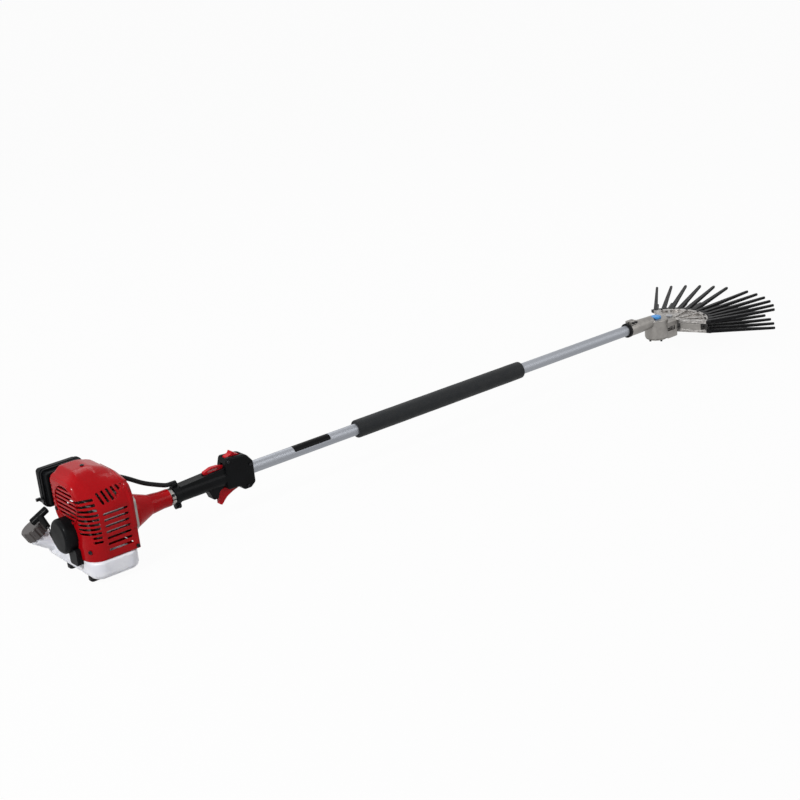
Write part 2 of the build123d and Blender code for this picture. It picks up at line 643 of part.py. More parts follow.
filter_x0 = shroud_x0 - 7.0
filter_x1 = filter_x0 + FILTER_LEN
filter_z1 = SHROUD_TOP - 12.0
filter_z0 = filter_z1 - FILTER_H
filter_mid = ((filter_x0 + filter_x1) / 2, (filter_z0 + filter_z1) / 2)
base_y1 = carb_y1 + FILTER_BASE_T
cover_y1 = base_y1 + FILTER_COVER_T
cover_wall = 3.0
cover_lip = 1.5
stem_r = 3.0


def filter_face(grow):
    """Rounded square of the air filter, larger or smaller than its outline."""
    return Pos(*filter_mid) * RectangleRounded(
        FILTER_LEN + 2 * grow, FILTER_H + 2 * grow, FILTER_CORNER_R + grow
    )


base = slab_xz(filter_face(0.0), base_y1 - 7.0, base_y1) + slab_xz(filter_face(-5.0), carb_y1, base_y1 - 7.0)
base = fillet(base.faces().sort_by(Axis.Y)[0].edges(), 4.0)
base -= rod_y(stem_r, base_y1 - 8.0, base_y1, filter_mid[0], filter_mid[1])
lever_at = (filter_x0, base_y1 - 3.5, filter_z0 + 16.0)
base -= rod_x(2.0 + RUN, filter_x0 - 1.0, filter_x0 + 8.0, lever_at[1], lever_at[2])
nodes["filter_base"] = base
cover = slab_xz(filter_face(cover_lip), base_y1, base_y1 + 8.0)
cover += slab_xz(filter_face(-2.5), base_y1 + 8.0, cover_y1)
cover = fillet(cover.faces().sort_by(Axis.Y)[-1].edges(), 7.0)
cover -= slab_xz(filter_face(-cover_wall - 2.5), base_y1, cover_y1 - cover_wall)
for k in range(3):
    x = filter_mid[0] + 17.0 * (k - 1)
    cover += box(x - 1.5, x + 1.5, cover_y1 - 1.0, cover_y1 + 1.2, filter_z0 + 12.0, filter_z0 + 25.0)
cover -= rod_y(stem_r + RUN, cover_y1 - 5.0, cover_y1 + 1.0, filter_mid[0], filter_mid[1])
nodes["filter_cover"] = cover
element = slab_xz(filter_face(-8.0), base_y1, cover_y1 - cover_wall - 6.0)
nodes["filter_element"] = element - rod_y(stem_r + 2.0, base_y1, cover_y1, filter_mid[0], filter_mid[1])
knob_y0 = cover_y1 + CLEAR
knob = rod_y(13.0, knob_y0, knob_y0 + 9.0, filter_mid[0], filter_mid[1])
for k in range(6):
    a = 2 * pi * k / 6
    knob -= rod_y(4.5, knob_y0, knob_y0 + 9.0, filter_mid[0] + 15.5 * cos(a), filter_mid[1] + 15.5 * sin(a))
knob += rod_y(stem_r, base_y1 + 0.5, knob_y0, filter_mid[0], filter_mid[1])
nodes["filter_knob"] = knob
pivots["filter_knob"] = Vector(filter_mid[0], knob_y0, filter_mid[1])
lever_x1 = lever_at[0] - cover_lip - CLEAR
lever_y, lever_z = lever_at[1], lever_at[2]
choke = box(lever_x1 - 2.5, lever_x1, lever_y - 4.0, lever_y + 22.0, lever_z - 4.0, lever_z + 4.0)
choke = fillet(choke.edges().filter_by(Axis.X), 3.5)
choke += box(lever_x1 - 9.0, lever_x1 - 2.5, lever_y + 16.0, lever_y + 21.5, lever_z - 3.0, lever_z + 3.0)
nodes["choke_lever"] = choke + rod_x(2.0, lever_x1 - 2.5, filter_x0 + 6.0, lever_at[1], lever_at[2])
pivots["choke_lever"] = Vector(*lever_at)

line_d = 5.0
line_x = carb_x1 - 6.0
fuel_routes = [
    [
        (line_x, carb_y0 + 12.0 + gap, carb_z0),
        (line_x, carb_y0 + 12.0 + gap, carb_z0 - 18.0),
        (line_x - 8.0, carb_y1 + 2.0 + gap, carb_z0 - 42.0),
        (line_x - 32.0, carb_y1 + 10.0 + gap, carb_z0 - 62.0),
        (line_x - 56.0, carb_y1 + 14.0 + gap, tank_z1 + 22.0),
        (line_x - 56.0, carb_y1 + 14.0 + gap, tank_z1),
    ]
    for gap in (0.0, 9.0)
]
nodes["fuel_lines"] = Compound([tube_path(route, bend_radii(route), line_d) for route in fuel_routes])

# Handle: two moulded halves round the pole, with trigger, lock-out lever and stop switch
head_x0 = 130.0
head_face = outline(
    [
        (head_x0, -25.0),
        (162.0, -27.0),
        (172.0, -38.0),
        (189.0, -38.0),
        (HANDLE_END, -28.0),
        (HANDLE_END, 22.0),
        (186.0, 43.0),
        (136.0, 48.0),
        (head_x0, 28.0),
    ],
    [6.0, 8.0, 8.0, 8.0, 8.0, 14.0, 20.0, 7.0, 7.0],
)
guard_face = outline(
    [(80.0, -8.0), (86.0, -18.0), (94.0, -38.0), (106.0, -39.0), (112.0, -25.0), (134.0, -8.0)],
    [2.0, 8.0, 4.0, 4.0, 5.0, 2.0],
)
spine_face = outline(
    [(HANDLE_START, 4.0), (HANDLE_START, 19.0), (head_x0 + 3.0, 25.0), (head_x0 + 3.0, 4.0)],
    [2.0, 5.0, 2.0, 2.0],
)
trigger_pin_at = (156.0, -21.0)
lever_pin_at = (138.0, 22.0)
switch_at = (158.0, 39.0)
lever_x0 = 82.0
bore_r = tube_r + RUN
grip_half_len = (head_x0 + 10.0 - HANDLE_START) / 2
grip = Pos(HANDLE_START + grip_half_len, 0, 0) * Rot(0, 90, 0) * extrude(
    Ellipse(GRIP_HALF_H, GRIP_HALF_W), grip_half_len, both=True
)
head_block = slab_xz(head_face, -HEAD_HALF_W, HEAD_HALF_W)
head_block = fillet(head_block.edges().filter_by(lambda e: abs(abs(e.center().Y) - HEAD_HALF_W) < 0.01), 5.0)
guard = slab_xz(guard_face, -11.0, 11.0)
spine = slab_xz(spine_face, -13.0, 13.0)
handle = grip + head_block + guard + spine
handle -= rod_x(bore_r, HANDLE_START - 1.0, HANDLE_END + 1.0)
trigger_half = TRIGGER_T / 2 + CLEAR
handle -= box(99.0, 171.0, -trigger_half, trigger_half, -60.0, 0.0)
lever_half = LEVER_T / 2 + CLEAR
handle -= box(lever_x0 - 3.0, head_x0, -lever_half, lever_half, 0.0, 60.0)
handle -= box(head_x0 - 1.0, lever_pin_at[0] + 7.0, -lever_half, lever_half, 0.0, lever_pin_at[1] + 13.0)
switch_half = SWITCH_W / 2 + CLEAR
switch_len = 36.0
handle -= box(
    switch_at[0] - switch_len / 2 - 3.0,
    switch_at[0] + switch_len / 2 + 3.0,
    -switch_half,
    switch_half,
    switch_at[1] - 14.0,
    60.0,
)
trigger_pin = rod_y(2.0, -HEAD_HALF_W + 6.0, HEAD_HALF_W - 6.0, *trigger_pin_at)
lever_pin = rod_y(1.6, -HEAD_HALF_W + 6.0, HEAD_HALF_W - 6.0, *lever_pin_at)
switch_pin = rod_y(1.6, -switch_half - 5.0, switch_half + 5.0, *switch_at)
handle_screw = cap_screw(3.2, 2.2, 1.6, 14.0)
screw_at = [(180.0, -30.0), (192.0, 18.0), (137.0, 40.0)]
handle_screws = [along((x, -HEAD_HALF_W - CLEAR, z), (0, -1, 0)) * handle_screw for x, z in screw_at]
for cutter in [trigger_pin, lever_pin, switch_pin] + handle_screws:
    handle -= cutter
nodes["handle_left"] = handle & box(0.0, 300.0, 0.0, 80.0, -80.0, 80.0)
nodes["handle_right"] = handle & box(0.0, 300.0, -80.0, 0.0, -80.0, 80.0)
nodes["handle_pins"] = Compound([trigger_pin, lever_pin, switch_pin])

trigger_face = outline(
    [
        (111.0, -26.0),
        (110.0, -55.0),
        (116.0, -59.0),
        (131.0, -44.0),
        (148.0, -36.0),
        (165.0, -31.0),
        (164.0, -16.5),
        (148.0, -17.0),
    ],
    [3.0, 2.0, 2.0, 30.0, 30.0, 3.0, 6.0, 6.0],
)
trigger = slab_xz(trigger_face, -TRIGGER_T / 2, TRIGGER_T / 2)
nodes["throttle_trigger"] = trigger - rod_y(2.0 + RUN, -TRIGGER_T, TRIGGER_T, *trigger_pin_at)
lever_face = outline(
    [
        (lever_x0, 22.0),
        (lever_x0, 28.0),
        (102.0, 34.0),
        (120.0, 33.0),
        (142.0, 26.0),
        (142.0, 18.0),
        (134.0, 18.0),
        (120.0, 22.0),
    ],
    [2.0, 3.0, 16.0, 12.0, 3.5, 3.5, 3.5, 12.0],
)
lever_window = outline(
    [(89.0, 25.0), (93.0, 28.5), (103.0, 30.5), (117.0, 29.5), (125.0, 26.0), (116.0, 25.0)],
    [0.6, 2.0, 10.0, 6.0, 1.0, 8.0],
)
lever = slab_xz(lever_face, -LEVER_T / 2, LEVER_T / 2) - slab_xz(lever_window, -LEVER_T, LEVER_T)
nodes["lockout_lever"] = lever - rod_y(1.6 + RUN, -LEVER_T, LEVER_T, *lever_pin_at)
switch_x0 = switch_at[0] - switch_len / 2
switch_x1 = switch_at[0] + switch_len / 2
switch_face = outline(
    [
        (switch_x0, switch_at[1] + 7.0),
        (switch_x0 + 14.0, switch_at[1] + 11.5),
        (switch_x0 + 18.0, switch_at[1] + 18.0),
        (switch_x0 + 22.0, switch_at[1] + 11.0),
        (switch_x1, switch_at[1] + 5.0),
        (switch_x1 - 3.0, switch_at[1] - 3.0),
        (switch_at[0], switch_at[1] - 7.0),
        (switch_x0 + 3.0, switch_at[1] - 3.0),
    ],
    [3.0, 5.0, 1.5, 5.0, 3.0, 3.0, 4.0, 3.0],
)
switch = slab_xz(switch_face, -SWITCH_W / 2, SWITCH_W / 2)
nodes["stop_switch"] = switch - rod_y(1.6 + RUN, -SWITCH_W, SWITCH_W, *switch_at)
pivots["throttle_trigger"] = Vector(trigger_pin_at[0], 0, trigger_pin_at[1])
pivots["lockout_lever"] = Vector(lever_pin_at[0], 0, lever_pin_at[1])
pivots["stop_switch"] = Vector(switch_at[0], 0, switch_at[1])

collar_x0 = HANDLE_START - COLLAR_W
lobe_z = 24.0
collar_face = Circle(COLLAR_R) + Pos(3.0, lobe_z) * Circle(7.6) + Pos(-3.0, -lobe_z) * Circle(6.6)
collar = slab_yz(collar_face, collar_x0, HANDLE_START) - rod_x(bore_r, collar_x0, HANDLE_START)
conduit_end = (collar_x0 + 5.0, 3.0, lobe_z + 3.0)
collar -= rod_x(CONDUIT_D / 2, collar_x0, conduit_end[0], conduit_end[1], conduit_end[2])
collar_screw = along((collar_x0 + COLLAR_W / 2, -9.8, -lobe_z), (0, -1, 0)) * cap_screw(3.2, 4.5, 1.8, 9.0)
nodes["handle_collar"] = collar - collar_screw
nodes["handle_screws"] = Compound(handle_screws + [collar_screw, clamp_screw])

conduit_route = [
    (carb_x1, 50.0, carb_z1 - 12.0),
    (carb_x1 + 16.0, 50.0, carb_z1 - 12.0),
    (carb_x1 + 44.0, 46.0, carb_z1 - 14.0),
    (carb_x1 + 76.0, 31.0, carb_z1 - 28.0),
    (carb_x1 + 108.0, 16.0, carb_z1 - 48.0),
    (carb_x1 + 140.0, 6.0, lobe_z + 8.0),
    (conduit_end[0] - 14.0, conduit_end[1], lobe_z + 3.0),
    conduit_end,
]
conduit_radii = bend_radii(conduit_route)
print("conduit bends", [round(r) for r in conduit_radii])
nodes["throttle_conduit"] = tube_path(conduit_route, conduit_radii, CONDUIT_D)

# Bevel pair: pinion on the drive shaft, crown wheel on the upright crank
pinion_r = CROWN_R * PINION_TEETH / CROWN_TEETH
pinion_cone = atan(pinion_r / CROWN_R)
cone_dist = sqrt(CROWN_R**2 + pinion_r**2)
inner_ratio = (cone_dist - TOOTH_FACE) / cone_dist
pitch = 2 * pi * CROWN_R / CROWN_TEETH
addendum = 0.9
dedendum = 1.6
tooth_mid = 0.33 * pitch
tooth_lean = 0.36


def bevel_gear(teeth, half_angle, turn):
    """Straight bevel gear: apex at the origin, body along +Z, a tooth at azimuth turn."""
    g = Vector(sin(half_angle), 0, cos(half_angle))
    n = Vector(cos(half_angle), 0, -sin(half_angle))
    t = Vector(0, 1, 0)
    corners = [
        (-(tooth_mid / 2 + tooth_lean * dedendum), -dedendum - 0.4),
        (tooth_mid / 2 + tooth_lean * dedendum, -dedendum - 0.4),
        (tooth_mid / 2 - tooth_lean * addendum, addendum),
        (-(tooth_mid / 2 - tooth_lean * addendum), addendum),
    ]
    ends = []
    for scale in (1.0, inner_ratio):
        points = [(g * cone_dist + t * a + n * b) * scale for a, b in corners]
        ends.append(make_face(Polyline(*points, close=True)))
    tooth = loft(ends, ruled=True)
    root = (g * cone_dist - n * dedendum)
    inner = root * inner_ratio
    blank_points = [(0, 0, inner.Z), (inner.X, 0, inner.Z), (root.X, 0, root.Z), (0, 0, root.Z)]
    blank = revolve(make_face(Polyline(*blank_points, close=True)), Axis.Z)
    gear = blank
    for k in range(teeth):
        gear += Rot(0, 0, degrees(turn) + 360.0 * k / teeth) * tooth
    return gear


apex = (CRANK_X, 0, 0)
pinion_plane = Plane(origin=apex, x_dir=(0, 0, -1), z_dir=(-1, 0, 0))
pinion = pinion_plane * bevel_gear(PINION_TEETH, pinion_cone, 0.0)
pinion_x1 = CRANK_X - cone_dist * cos(pinion_cone)
shaft_x1 = CRANK_X - inner_ratio * CROWN_R - 1.0
pinion_hub = 14.0
pinion_hub_r = 6.0
pinion += rod_x(pinion_hub_r, pinion_x1 - pinion_hub, pinion_x1 + 1.0)
nodes["bevel_pinion"] = pinion - rod_x(SHAFT_D / 2, pinion_x1 - pinion_hub, shaft_x1)
nodes["drive_shaft"] = rod_x(SHAFT_D / 2, shaft_x0, shaft_x1)
pinion_bearing_x0 = pinion_x1 - pinion_hub + 1.0
pinion_bearing_x1 = pinion_x1 - 3.0
pinion_bearing = ring_x(12.0, pinion_hub_r + RUN, pinion_bearing_x0, pinion_bearing_x1)

# Upright crank: two opposite throws, one for each hand's yoke
crown_plane = Plane(origin=apex, x_dir=(-1, 0, 0), z_dir=(0, 0, -1))
mid_z = -MID_DROP
tail_t = 7.0
tail_up = (mid_z + 1.5, mid_z + 1.5 + tail_t)
tail_low = (mid_z - 1.5 - tail_t, mid_z - 1.5)
journal_r = 5.0
web_half = 1.2
crank = crown_plane * bevel_gear(CROWN_TEETH, pi / 2 - pinion_cone, pi / CROWN_TEETH)
crank += rod_z(CROWN_R - 3.0, tail_up[1] + 0.8, -pinion_r - 1.0, CRANK_X)
crank_web_r = CRANK_THROW + CRANK_PIN_R + 1.0
crank += rod_z(CRANK_PIN_R, mid_z - web_half, tail_up[1] + 0.8, CRANK_X, CRANK_THROW)
crank += rod_z(crank_web_r, mid_z - web_half, mid_z + web_half, CRANK_X)
crank += rod_z(CRANK_PIN_R, tail_low[0] - 0.8, mid_z, CRANK_X, -CRANK_THROW)
crank += rod_z(crank_web_r, tail_low[0] - 3.2, tail_low[0] - 0.8, CRANK_X)
crank_top = CASE_TOP - 2.0
crank_low = -CASE_BASE + 1.0
top_journal_r = 4.0
crank += rod_z(top_journal_r, -pinion_r - 1.0, crank_top, CRANK_X)
crank += rod_z(journal_r, crank_low, tail_low[0] - 3.0, CRANK_X)
nodes["hand_crank"] = crank
crank_bearing_t = 6.0
low_bearing_t = 4.5
top_bearing = rod_z(9.0, CASE_TOP - crank_bearing_t - 1.0, CASE_TOP - 1.0, CRANK_X) - rod_z(
    top_journal_r + RUN, -20.0, CASE_TOP, CRANK_X
)
low_bearing = rod_z(12.0, crank_low, crank_low + low_bearing_t, CRANK_X) - rod_z(
    journal_r + RUN, crank_low, 0.0, CRANK_X
)
nodes["gearbox_bearings"] = Compound([pinion_bearing, top_bearing, low_bearing])
pivots["hand_crank"] = Vector(CRANK_X, 0, 0)

yoke_gap = CRANK_THROW + CRANK_PIN_R + 0.6 + 2 * PIVOT_REACH * sin(radians(SWING_DEG)) * 0.5 + 0.8

# Gear case: round body, neck that clamps the pole, forked nose for the pivot pin
ear_t = 7.0
up_plate = (mid_z + PLATE_OFFSET, mid_z + PLATE_OFFSET + CARRIER_T)
low_plate = (2 * mid_z - up_plate[1], 2 * mid_z - up_plate[0])
ear_up = (up_plate[1] + 1.2, up_plate[1] + 1.2 + ear_t)
ear_low = (2 * mid_z - ear_up[1], 2 * mid_z - ear_up[0])
nose_r = 15.0
cavity_r = CASE_R - 5.0
case_front = CRANK_X + cavity_r + 3.0
case_body = rod_z(CASE_R, -CASE_BASE, CASE_TOP, CRANK_X)
case_body = fillet(case_body.edges().filter_by(GeomType.CIRCLE), 4.0)
case_body += turned_x(
    [
        (neck_x0, 0.0),
        (neck_x0, NECK_R),
        (tube_x1 + 6.0, NECK_R),
        (CRANK_X - 22.0, NECK_R - 2.0),
        (CRANK_X - 12.0, 6.0),
        (CRANK_X - 12.0, 0.0),
    ]
)
ear_face = outline(
    [
        (CRANK_X, -CASE_R + 4.0),
        (pivot_x - 4.0, -nose_r),
        (pivot_x + nose_r, -nose_r),
        (pivot_x + nose_r, nose_r),
        (pivot_x - 4.0, nose_r),
        (CRANK_X, CASE_R - 4.0),
    ],
    [2.0, 12.0, nose_r - 1.0, nose_r - 1.0, 12.0, 2.0],
)
for z0, z1 in (ear_up, ear_low):
    case_body += slab_xy(ear_face, z0, z1)
wall_x1 = pivot_x - 2.0
wall_in = yoke_gap + 10.5
wall_out = wall_in + 5.5
case_body += fillet(
    box(CRANK_X, wall_x1, -wall_out, wall_out, ear_low[0], ear_up[1]).edges().filter_by(Axis.X), 6.0
)
case_body -= box(CRANK_X, pivot_x + 60.0, -wall_in, wall_in, ear_low[1], ear_up[0])
case_body -= box(CRANK_X + 14.0, wall_x1 - 8.0, -CASE_R, CASE_R, mid_z - 3.0, mid_z + 9.0)
cover_r = CASE_R - 1.5
case_body -= rod_z(cover_r + CLEAR, ear_low[0] - 1.0, -CASE_BASE, CRANK_X)
cavity_top = CASE_TOP - crank_bearing_t - 1.0
case_body -= rod_z(cavity_r, crank_low + low_bearing_t, cavity_top, CRANK_X)
case_body -= rod_z(9.0, cavity_top, CASE_TOP - 1.0, CRANK_X)
case_body -= rod_z(12.0, crank_low, crank_low + low_bearing_t, CRANK_X)
case_body -= rod_x(12.0, pinion_bearing_x0, CRANK_X)
case_body -= rod_x(SHAFT_D / 2 + 3.5, tube_x1, pinion_bearing_x0)
case_body -= rod_x(tube_r + RUN, neck_x0, tube_x1)
window_half = cavity_r - 3.0
case_body -= box(CRANK_X, case_front + 8.0, -window_half, window_half, tail_low[0] - 1.0, tail_up[1] + 1.0)
case_body -= box(neck_x0 - 1.0, tube_x1 - 4.0, -1.5, 1.5, 0.0, NECK_R + 2.0)
ear_boss = [
    box(neck_x0 + 3.0, neck_x0 + 26.0, -11.0, -1.5, tube_r + 1.0, NECK_R + 4.5),
    box(neck_x0 + 3.0, neck_x0 + 26.0, 1.5, 11.0, tube_r + 1.0, NECK_R + 4.5),
]
for boss in ear_boss:
    case_body += boss - rod_x(tube_r + RUN, neck_x0, tube_x1)
neck_screw = cap_screw(3.0, 4.0, 1.8, 20.0)
neck_screws = [
    along((neck_x0 + x, -11.0, NECK_R + 1.0), (0, -1, 0)) * neck_screw for x in (9.0, 20.0)
]
cover_t = 4.0
cover_screw = cap_screw(3.0, 3.0, 1.6, 8.0)
cover_angles = [radians(40 + 70 * k) for k in range(5)]
cover_bolt_r = CASE_R - 6.0
cover_face_z = -CASE_BASE - cover_t
cover_screws = [
    Pos(CRANK_X + cover_bolt_r * cos(a), cover_bolt_r * sin(a), cover_face_z) * Rot(180, 0, 0) * cover_screw
    for a in cover_angles
]
for screw in neck_screws + cover_screws:
    case_body -= screw
case_body -= rod_z(PIVOT_PIN_R, ear_low[0], ear_up[1], pivot_x)
nodes["gearbox_case"] = case_body
base_plate = rod_z(cover_r, -CASE_BASE - cover_t, -CASE_BASE, CRANK_X)
base_plate = chamfer(base_plate.faces().sort_by(Axis.Z)[0].edges(), 3.0)
for screw in cover_screws:
    base_plate -= screw
nodes["gearbox_cover"] = base_plate
nodes["head_screws"] = Compound(neck_screws + cover_screws)
grease_cap = rod_z(14.0, CASE_TOP, CASE_TOP + 6.0, CRANK_X)
nodes["grease_cap"] = fillet(grease_cap.faces().sort_by(Axis.Z)[-1].edges(), 3.5)
nodes["pivot_pin"] = rod_z(PIVOT_PIN_R, ear_low[0], ear_up[1] + 3.0, pivot_x) + rod_z(
    PIVOT_PIN_R + 3.0, ear_up[1], ear_up[1] + 3.5, pivot_x
)
nodes["neck_seal"] = ring_x(NECK_R + 1.0, tube_r + RUN, neck_x0 - 7.0, neck_x0)

# Hands: fan-shaped carrier on the pivot, a yoke behind it and two finger combs in front
yoke_half = yoke_gap + 5.0
hub_r = 16.0
fan_half_deg = BASE_FIRST_DEG + BASE_STEP_DEG * (FINGERS - 1) + 4.0


def fan_point(r, deg):
    """Point of the fan about the pivot."""
    return (pivot_x + r * cos(radians(deg)), r * sin(radians(deg)))


def fan_sector(r, half_deg):
    """Flat sector from the pivot out to a radius."""
    return make_face(
        Line((pivot_x, 0), fan_point(r, -half_deg))
        + ThreePointArc(fan_point(r, -half_deg), fan_point(r, 0), fan_point(r, half_deg))
        + Line(fan_point(r, half_deg), (pivot_x, 0))
    )


def carrier(plate, tail, hub):
    """Cast carrier of one hand."""
    z0, z1 = plate
    body = slab_xy(fan_sector(CARRIER_R, fan_half_deg), z0, z1)
    pocket = fan_sector(CARRIER_R - 12.0, fan_half_deg - 9.0) - Pos(pivot_x, 0) * Circle(hub_r + 8.0)
    ribs = [Pos(pivot_x, 0) * Rot(0, 0, a) * Pos(60.0, 0) * Rectangle(120.0, 6.0) for a in (-42, -14, 14, 42)]
    for rib in ribs:
        pocket -= rib
    outer = z1 if z1 > mid_z else z0
    floor_t = 3.0
    if outer == z1:
        body -= slab_xy(pocket, z0 + floor_t, z1)
    else:
        body -= slab_xy(pocket, z0, z1 - floor_t)
    body += rod_z(hub_r, hub[0], hub[1], pivot_x)
    arm = box(CRANK_X - 9.0, pivot_x - 6.0, -yoke_half, yoke_half, tail[0], tail[1])
    arm -= box(CRANK_X - 10.0, CRANK_X + 12.0, -yoke_gap, yoke_gap, tail[0], tail[1])
    arm -= rod_z(yoke_gap, tail[0], tail[1], CRANK_X + 12.0)
    body += arm
    for deg in (-54, -34, -12, 12, 34, 54):
        x, y = fan_point(CARRIER_R - 7.0, deg)
        body += rod_z(5.0, z0, z1 + 1.5, x, y) if outer == z1 else rod_z(5.0, z0 - 1.5, z1, x, y)
    return body - rod_z(PIVOT_PIN_R + RUN, hub[0], hub[1], pivot_x)


def finger(k, side, base_z, tip_z):
    """One tapered finger of I section, from the rail to its rounded tip."""
    base_deg = BASE_FIRST_DEG + BASE_STEP_DEG * k
    tip_deg = TIP_FIRST_DEG + TIP_STEP_DEG * k
    bx, by = fan_point(CARRIER_R + 3.0, base_deg)
    tx = pivot_x + TIP_CENTRE_SHIFT + TIP_R * cos(radians(tip_deg))
    ty = TIP_R * sin(radians(tip_deg))
    start = Vector(bx, side * by, base_z)
    end = Vector(tx, side * ty, tip_z)
    d = (end - start).normalized()
    sections = []
    for at, w, h in ((0.0, 11.0, 10.0), (1.0, 6.5, 6.0)):
        web = w * 0.22
        lip = h * 0.24
        half = w / 2
        top = h / 2
        points = [
            (-half, -top),
            (half, -top),
            (half, -top + lip),
            (web, -top + lip),
            (web, top - lip),
            (half, top - lip),
            (half, top),
            (-half, top),
            (-half, top - lip),
            (-web, top - lip),
            (-web, -top + lip),
            (-half, -top + lip),
        ]
        where = along(start + (end - start) * at, d, Vector(0, 0, 1).cross(d))
        sections.append(where * make_face(Polyline(*points, close=True)))
    bar = loft(sections, ruled=True)
    tip = along(end - d * 6.0, d) * Pos(0, 0, 4.5) * Cylinder(3.6, 9.0)
    return bar + fillet(tip.edges().filter_by(GeomType.CIRCLE), 1.6)


def comb(side, plate, base_z, tip_z):
    """Moulded comb: curved rail along the carrier's edge with its fingers."""
    z0, z1 = plate
    inner = CARRIER_R + 0.1
    outer = inner + RAIL_W
    a0 = 1.2 * side
    a1 = (fan_half_deg + 0.5) * side
    mid = (a0 + a1) / 2
    rail = make_face(
        ThreePointArc(fan_point(inner, a0), fan_point(inner, mid), fan_point(inner, a1))
        + Line(fan_point(inner, a1), fan_point(outer, a1))
        + ThreePointArc(fan_point(outer, a1), fan_point(outer, mid), fan_point(outer, a0))
        + Line(fan_point(outer, a0), fan_point(inner, a0))
    )
    body = slab_xy(rail, z0, z1)
    for k in range(FINGERS):
        body += finger(k, side, base_z, tip_z) - slab_xy(
            Pos(pivot_x, 0) * Circle(inner), z0 - 20.0, z1 + 20.0
        )
    return body


comb_screw = cap_screw(3.0, 2.5, 1.6, 5.0)
up_mid = (up_plate[0] + up_plate[1]) / 2
low_mid = (low_plate[0] + low_plate[1]) / 2
hub_up = (mid_z + CLEAR, up_plate[1] + 0.6)
hub_low = (2 * mid_z - hub_up[1], mid_z - CLEAR)
for hand, plate, tail, hub, base_z, rise, face in (
    ("upper", up_plate, tail_up, hub_up, up_mid, TIP_RISE, 1),
    ("lower", low_plate, tail_low, hub_low, low_mid, -TIP_DROP, -1),
):
    body = carrier(plate, tail, hub)
    seat = plate[1] + 1.5 if face > 0 else plate[0] - 1.5
    screws = [
        along((*fan_point(CARRIER_R - 7.0, deg), seat), (0, 0, face)) * comb_screw
        for deg in (-54, -34, -12, 12, 34, 54)
    ]
    for screw in screws:
        body -= screw
    nodes[hand + "_carrier"] = body
    nodes[hand + "_comb_screws"] = Compound(screws)
    nodes[hand + "_comb_left"] = comb(1, plate, base_z, base_z + rise)
    nodes[hand + "_comb_right"] = comb(-1, plate, base_z, base_z + rise)
pivots["hand_pivot"] = Vector(pivot_x, 0, mid_z)

# Move the model onto the floor, with the origin at the middle of its length, and write it
boxes = [shape.bounding_box() for shape in nodes.values()]
mid_x = (min(b.min.X for b in boxes) + max(b.max.X for b in boxes)) / 2
floor_z = min(b.min.Z for b in boxes)
shift = Pos(-mid_x, 0, -floor_z)
os.makedirs("parts", exist_ok=True)
for name, shape in nodes.items():
    export_step(shift * shape, "parts/" + name + ".step")
for name, point in pivots.items():
    where = point if name.endswith("_axis") else point - Vector(mid_x, 0, floor_z)
    print("pivot", name, round(where.X, 6), round(where.Y, 6), round(where.Z, 6))
print("pole axis", round(-mid_x, 3), round(-floor_z, 3), "nodes", len(nodes))
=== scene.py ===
# %% [markdown]
# # Petrol coffee harvester
# A small engine hangs at the rear of a long tube, a throttle handle sits just ahead of it,
# and a gear head at the far end shakes two pairs of fan-shaped finger combs. The solids come
# from the frame; this lesson gives them their finishes and adds the soft and fine pieces.

# %% Load the frame
import json
import math

import bmesh
import bpy
import numpy as np
from mathutils import Matrix, Vector, noise


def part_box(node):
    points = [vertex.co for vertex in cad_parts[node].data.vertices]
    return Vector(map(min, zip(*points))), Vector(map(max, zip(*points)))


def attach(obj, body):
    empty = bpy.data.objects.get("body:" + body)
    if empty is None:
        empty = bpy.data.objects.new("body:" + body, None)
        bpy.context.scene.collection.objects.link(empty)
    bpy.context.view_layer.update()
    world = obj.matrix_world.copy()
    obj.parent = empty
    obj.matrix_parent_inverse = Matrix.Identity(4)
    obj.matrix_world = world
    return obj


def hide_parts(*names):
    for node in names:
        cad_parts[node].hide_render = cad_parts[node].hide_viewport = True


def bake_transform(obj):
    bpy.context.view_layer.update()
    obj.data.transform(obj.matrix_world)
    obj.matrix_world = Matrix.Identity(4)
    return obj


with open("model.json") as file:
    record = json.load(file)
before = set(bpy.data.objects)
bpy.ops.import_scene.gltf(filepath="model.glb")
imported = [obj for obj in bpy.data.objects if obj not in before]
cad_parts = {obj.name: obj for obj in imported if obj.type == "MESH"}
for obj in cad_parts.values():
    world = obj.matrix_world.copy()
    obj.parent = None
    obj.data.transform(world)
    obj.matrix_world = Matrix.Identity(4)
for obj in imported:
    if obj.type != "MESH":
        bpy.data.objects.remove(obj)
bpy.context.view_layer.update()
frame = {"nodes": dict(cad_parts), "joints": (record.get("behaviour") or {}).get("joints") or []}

# %% [markdown]
# ## Measures shared by the steps
# The pole is the backbone of this tool, so places along it are counted in millimetres from a
# mark 40 mm ahead of the tube's rear end.

# %% Pole measures
MM = 0.001
tube_low, tube_high = (Vector(corner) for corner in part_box("shaft_tube"))
pole_mark = tube_low.x + 40.0 * MM
axis_z = (tube_low.z + tube_high.z) / 2
tube_radius = (tube_high.z - tube_low.z) / 2


def on_pole(x, y=0.0, z=0.0):
    """Point in metres from millimetres along, left of and above the pole's axis."""
    return Vector((pole_mark + x * MM, y * MM, axis_z + z * MM))


print("pole axis at", round(axis_z, 4), "tube radius", round(tube_radius, 4))

# %% [markdown]
# ## How a finish is written
# A shader tree is a handful of nodes with settings and wires. One function adds a node, one
# turns a paint chip's hex value into the linear light that the shader wants, and one opens a
# material with its main shader, so each finish below reads as a short recipe.

# %% Helpers for finishes


def linear(hex_colour):
    """Linear RGBA from an sRGB hex value such as '#b5121b'."""
    channels = [int(hex_colour[i : i + 2], 16) / 255 for i in (1, 3, 5)]
    return [c / 12.92 if c <= 0.04045 else ((c + 0.055) / 1.055) ** 2.4 for c in channels] + [1.0]


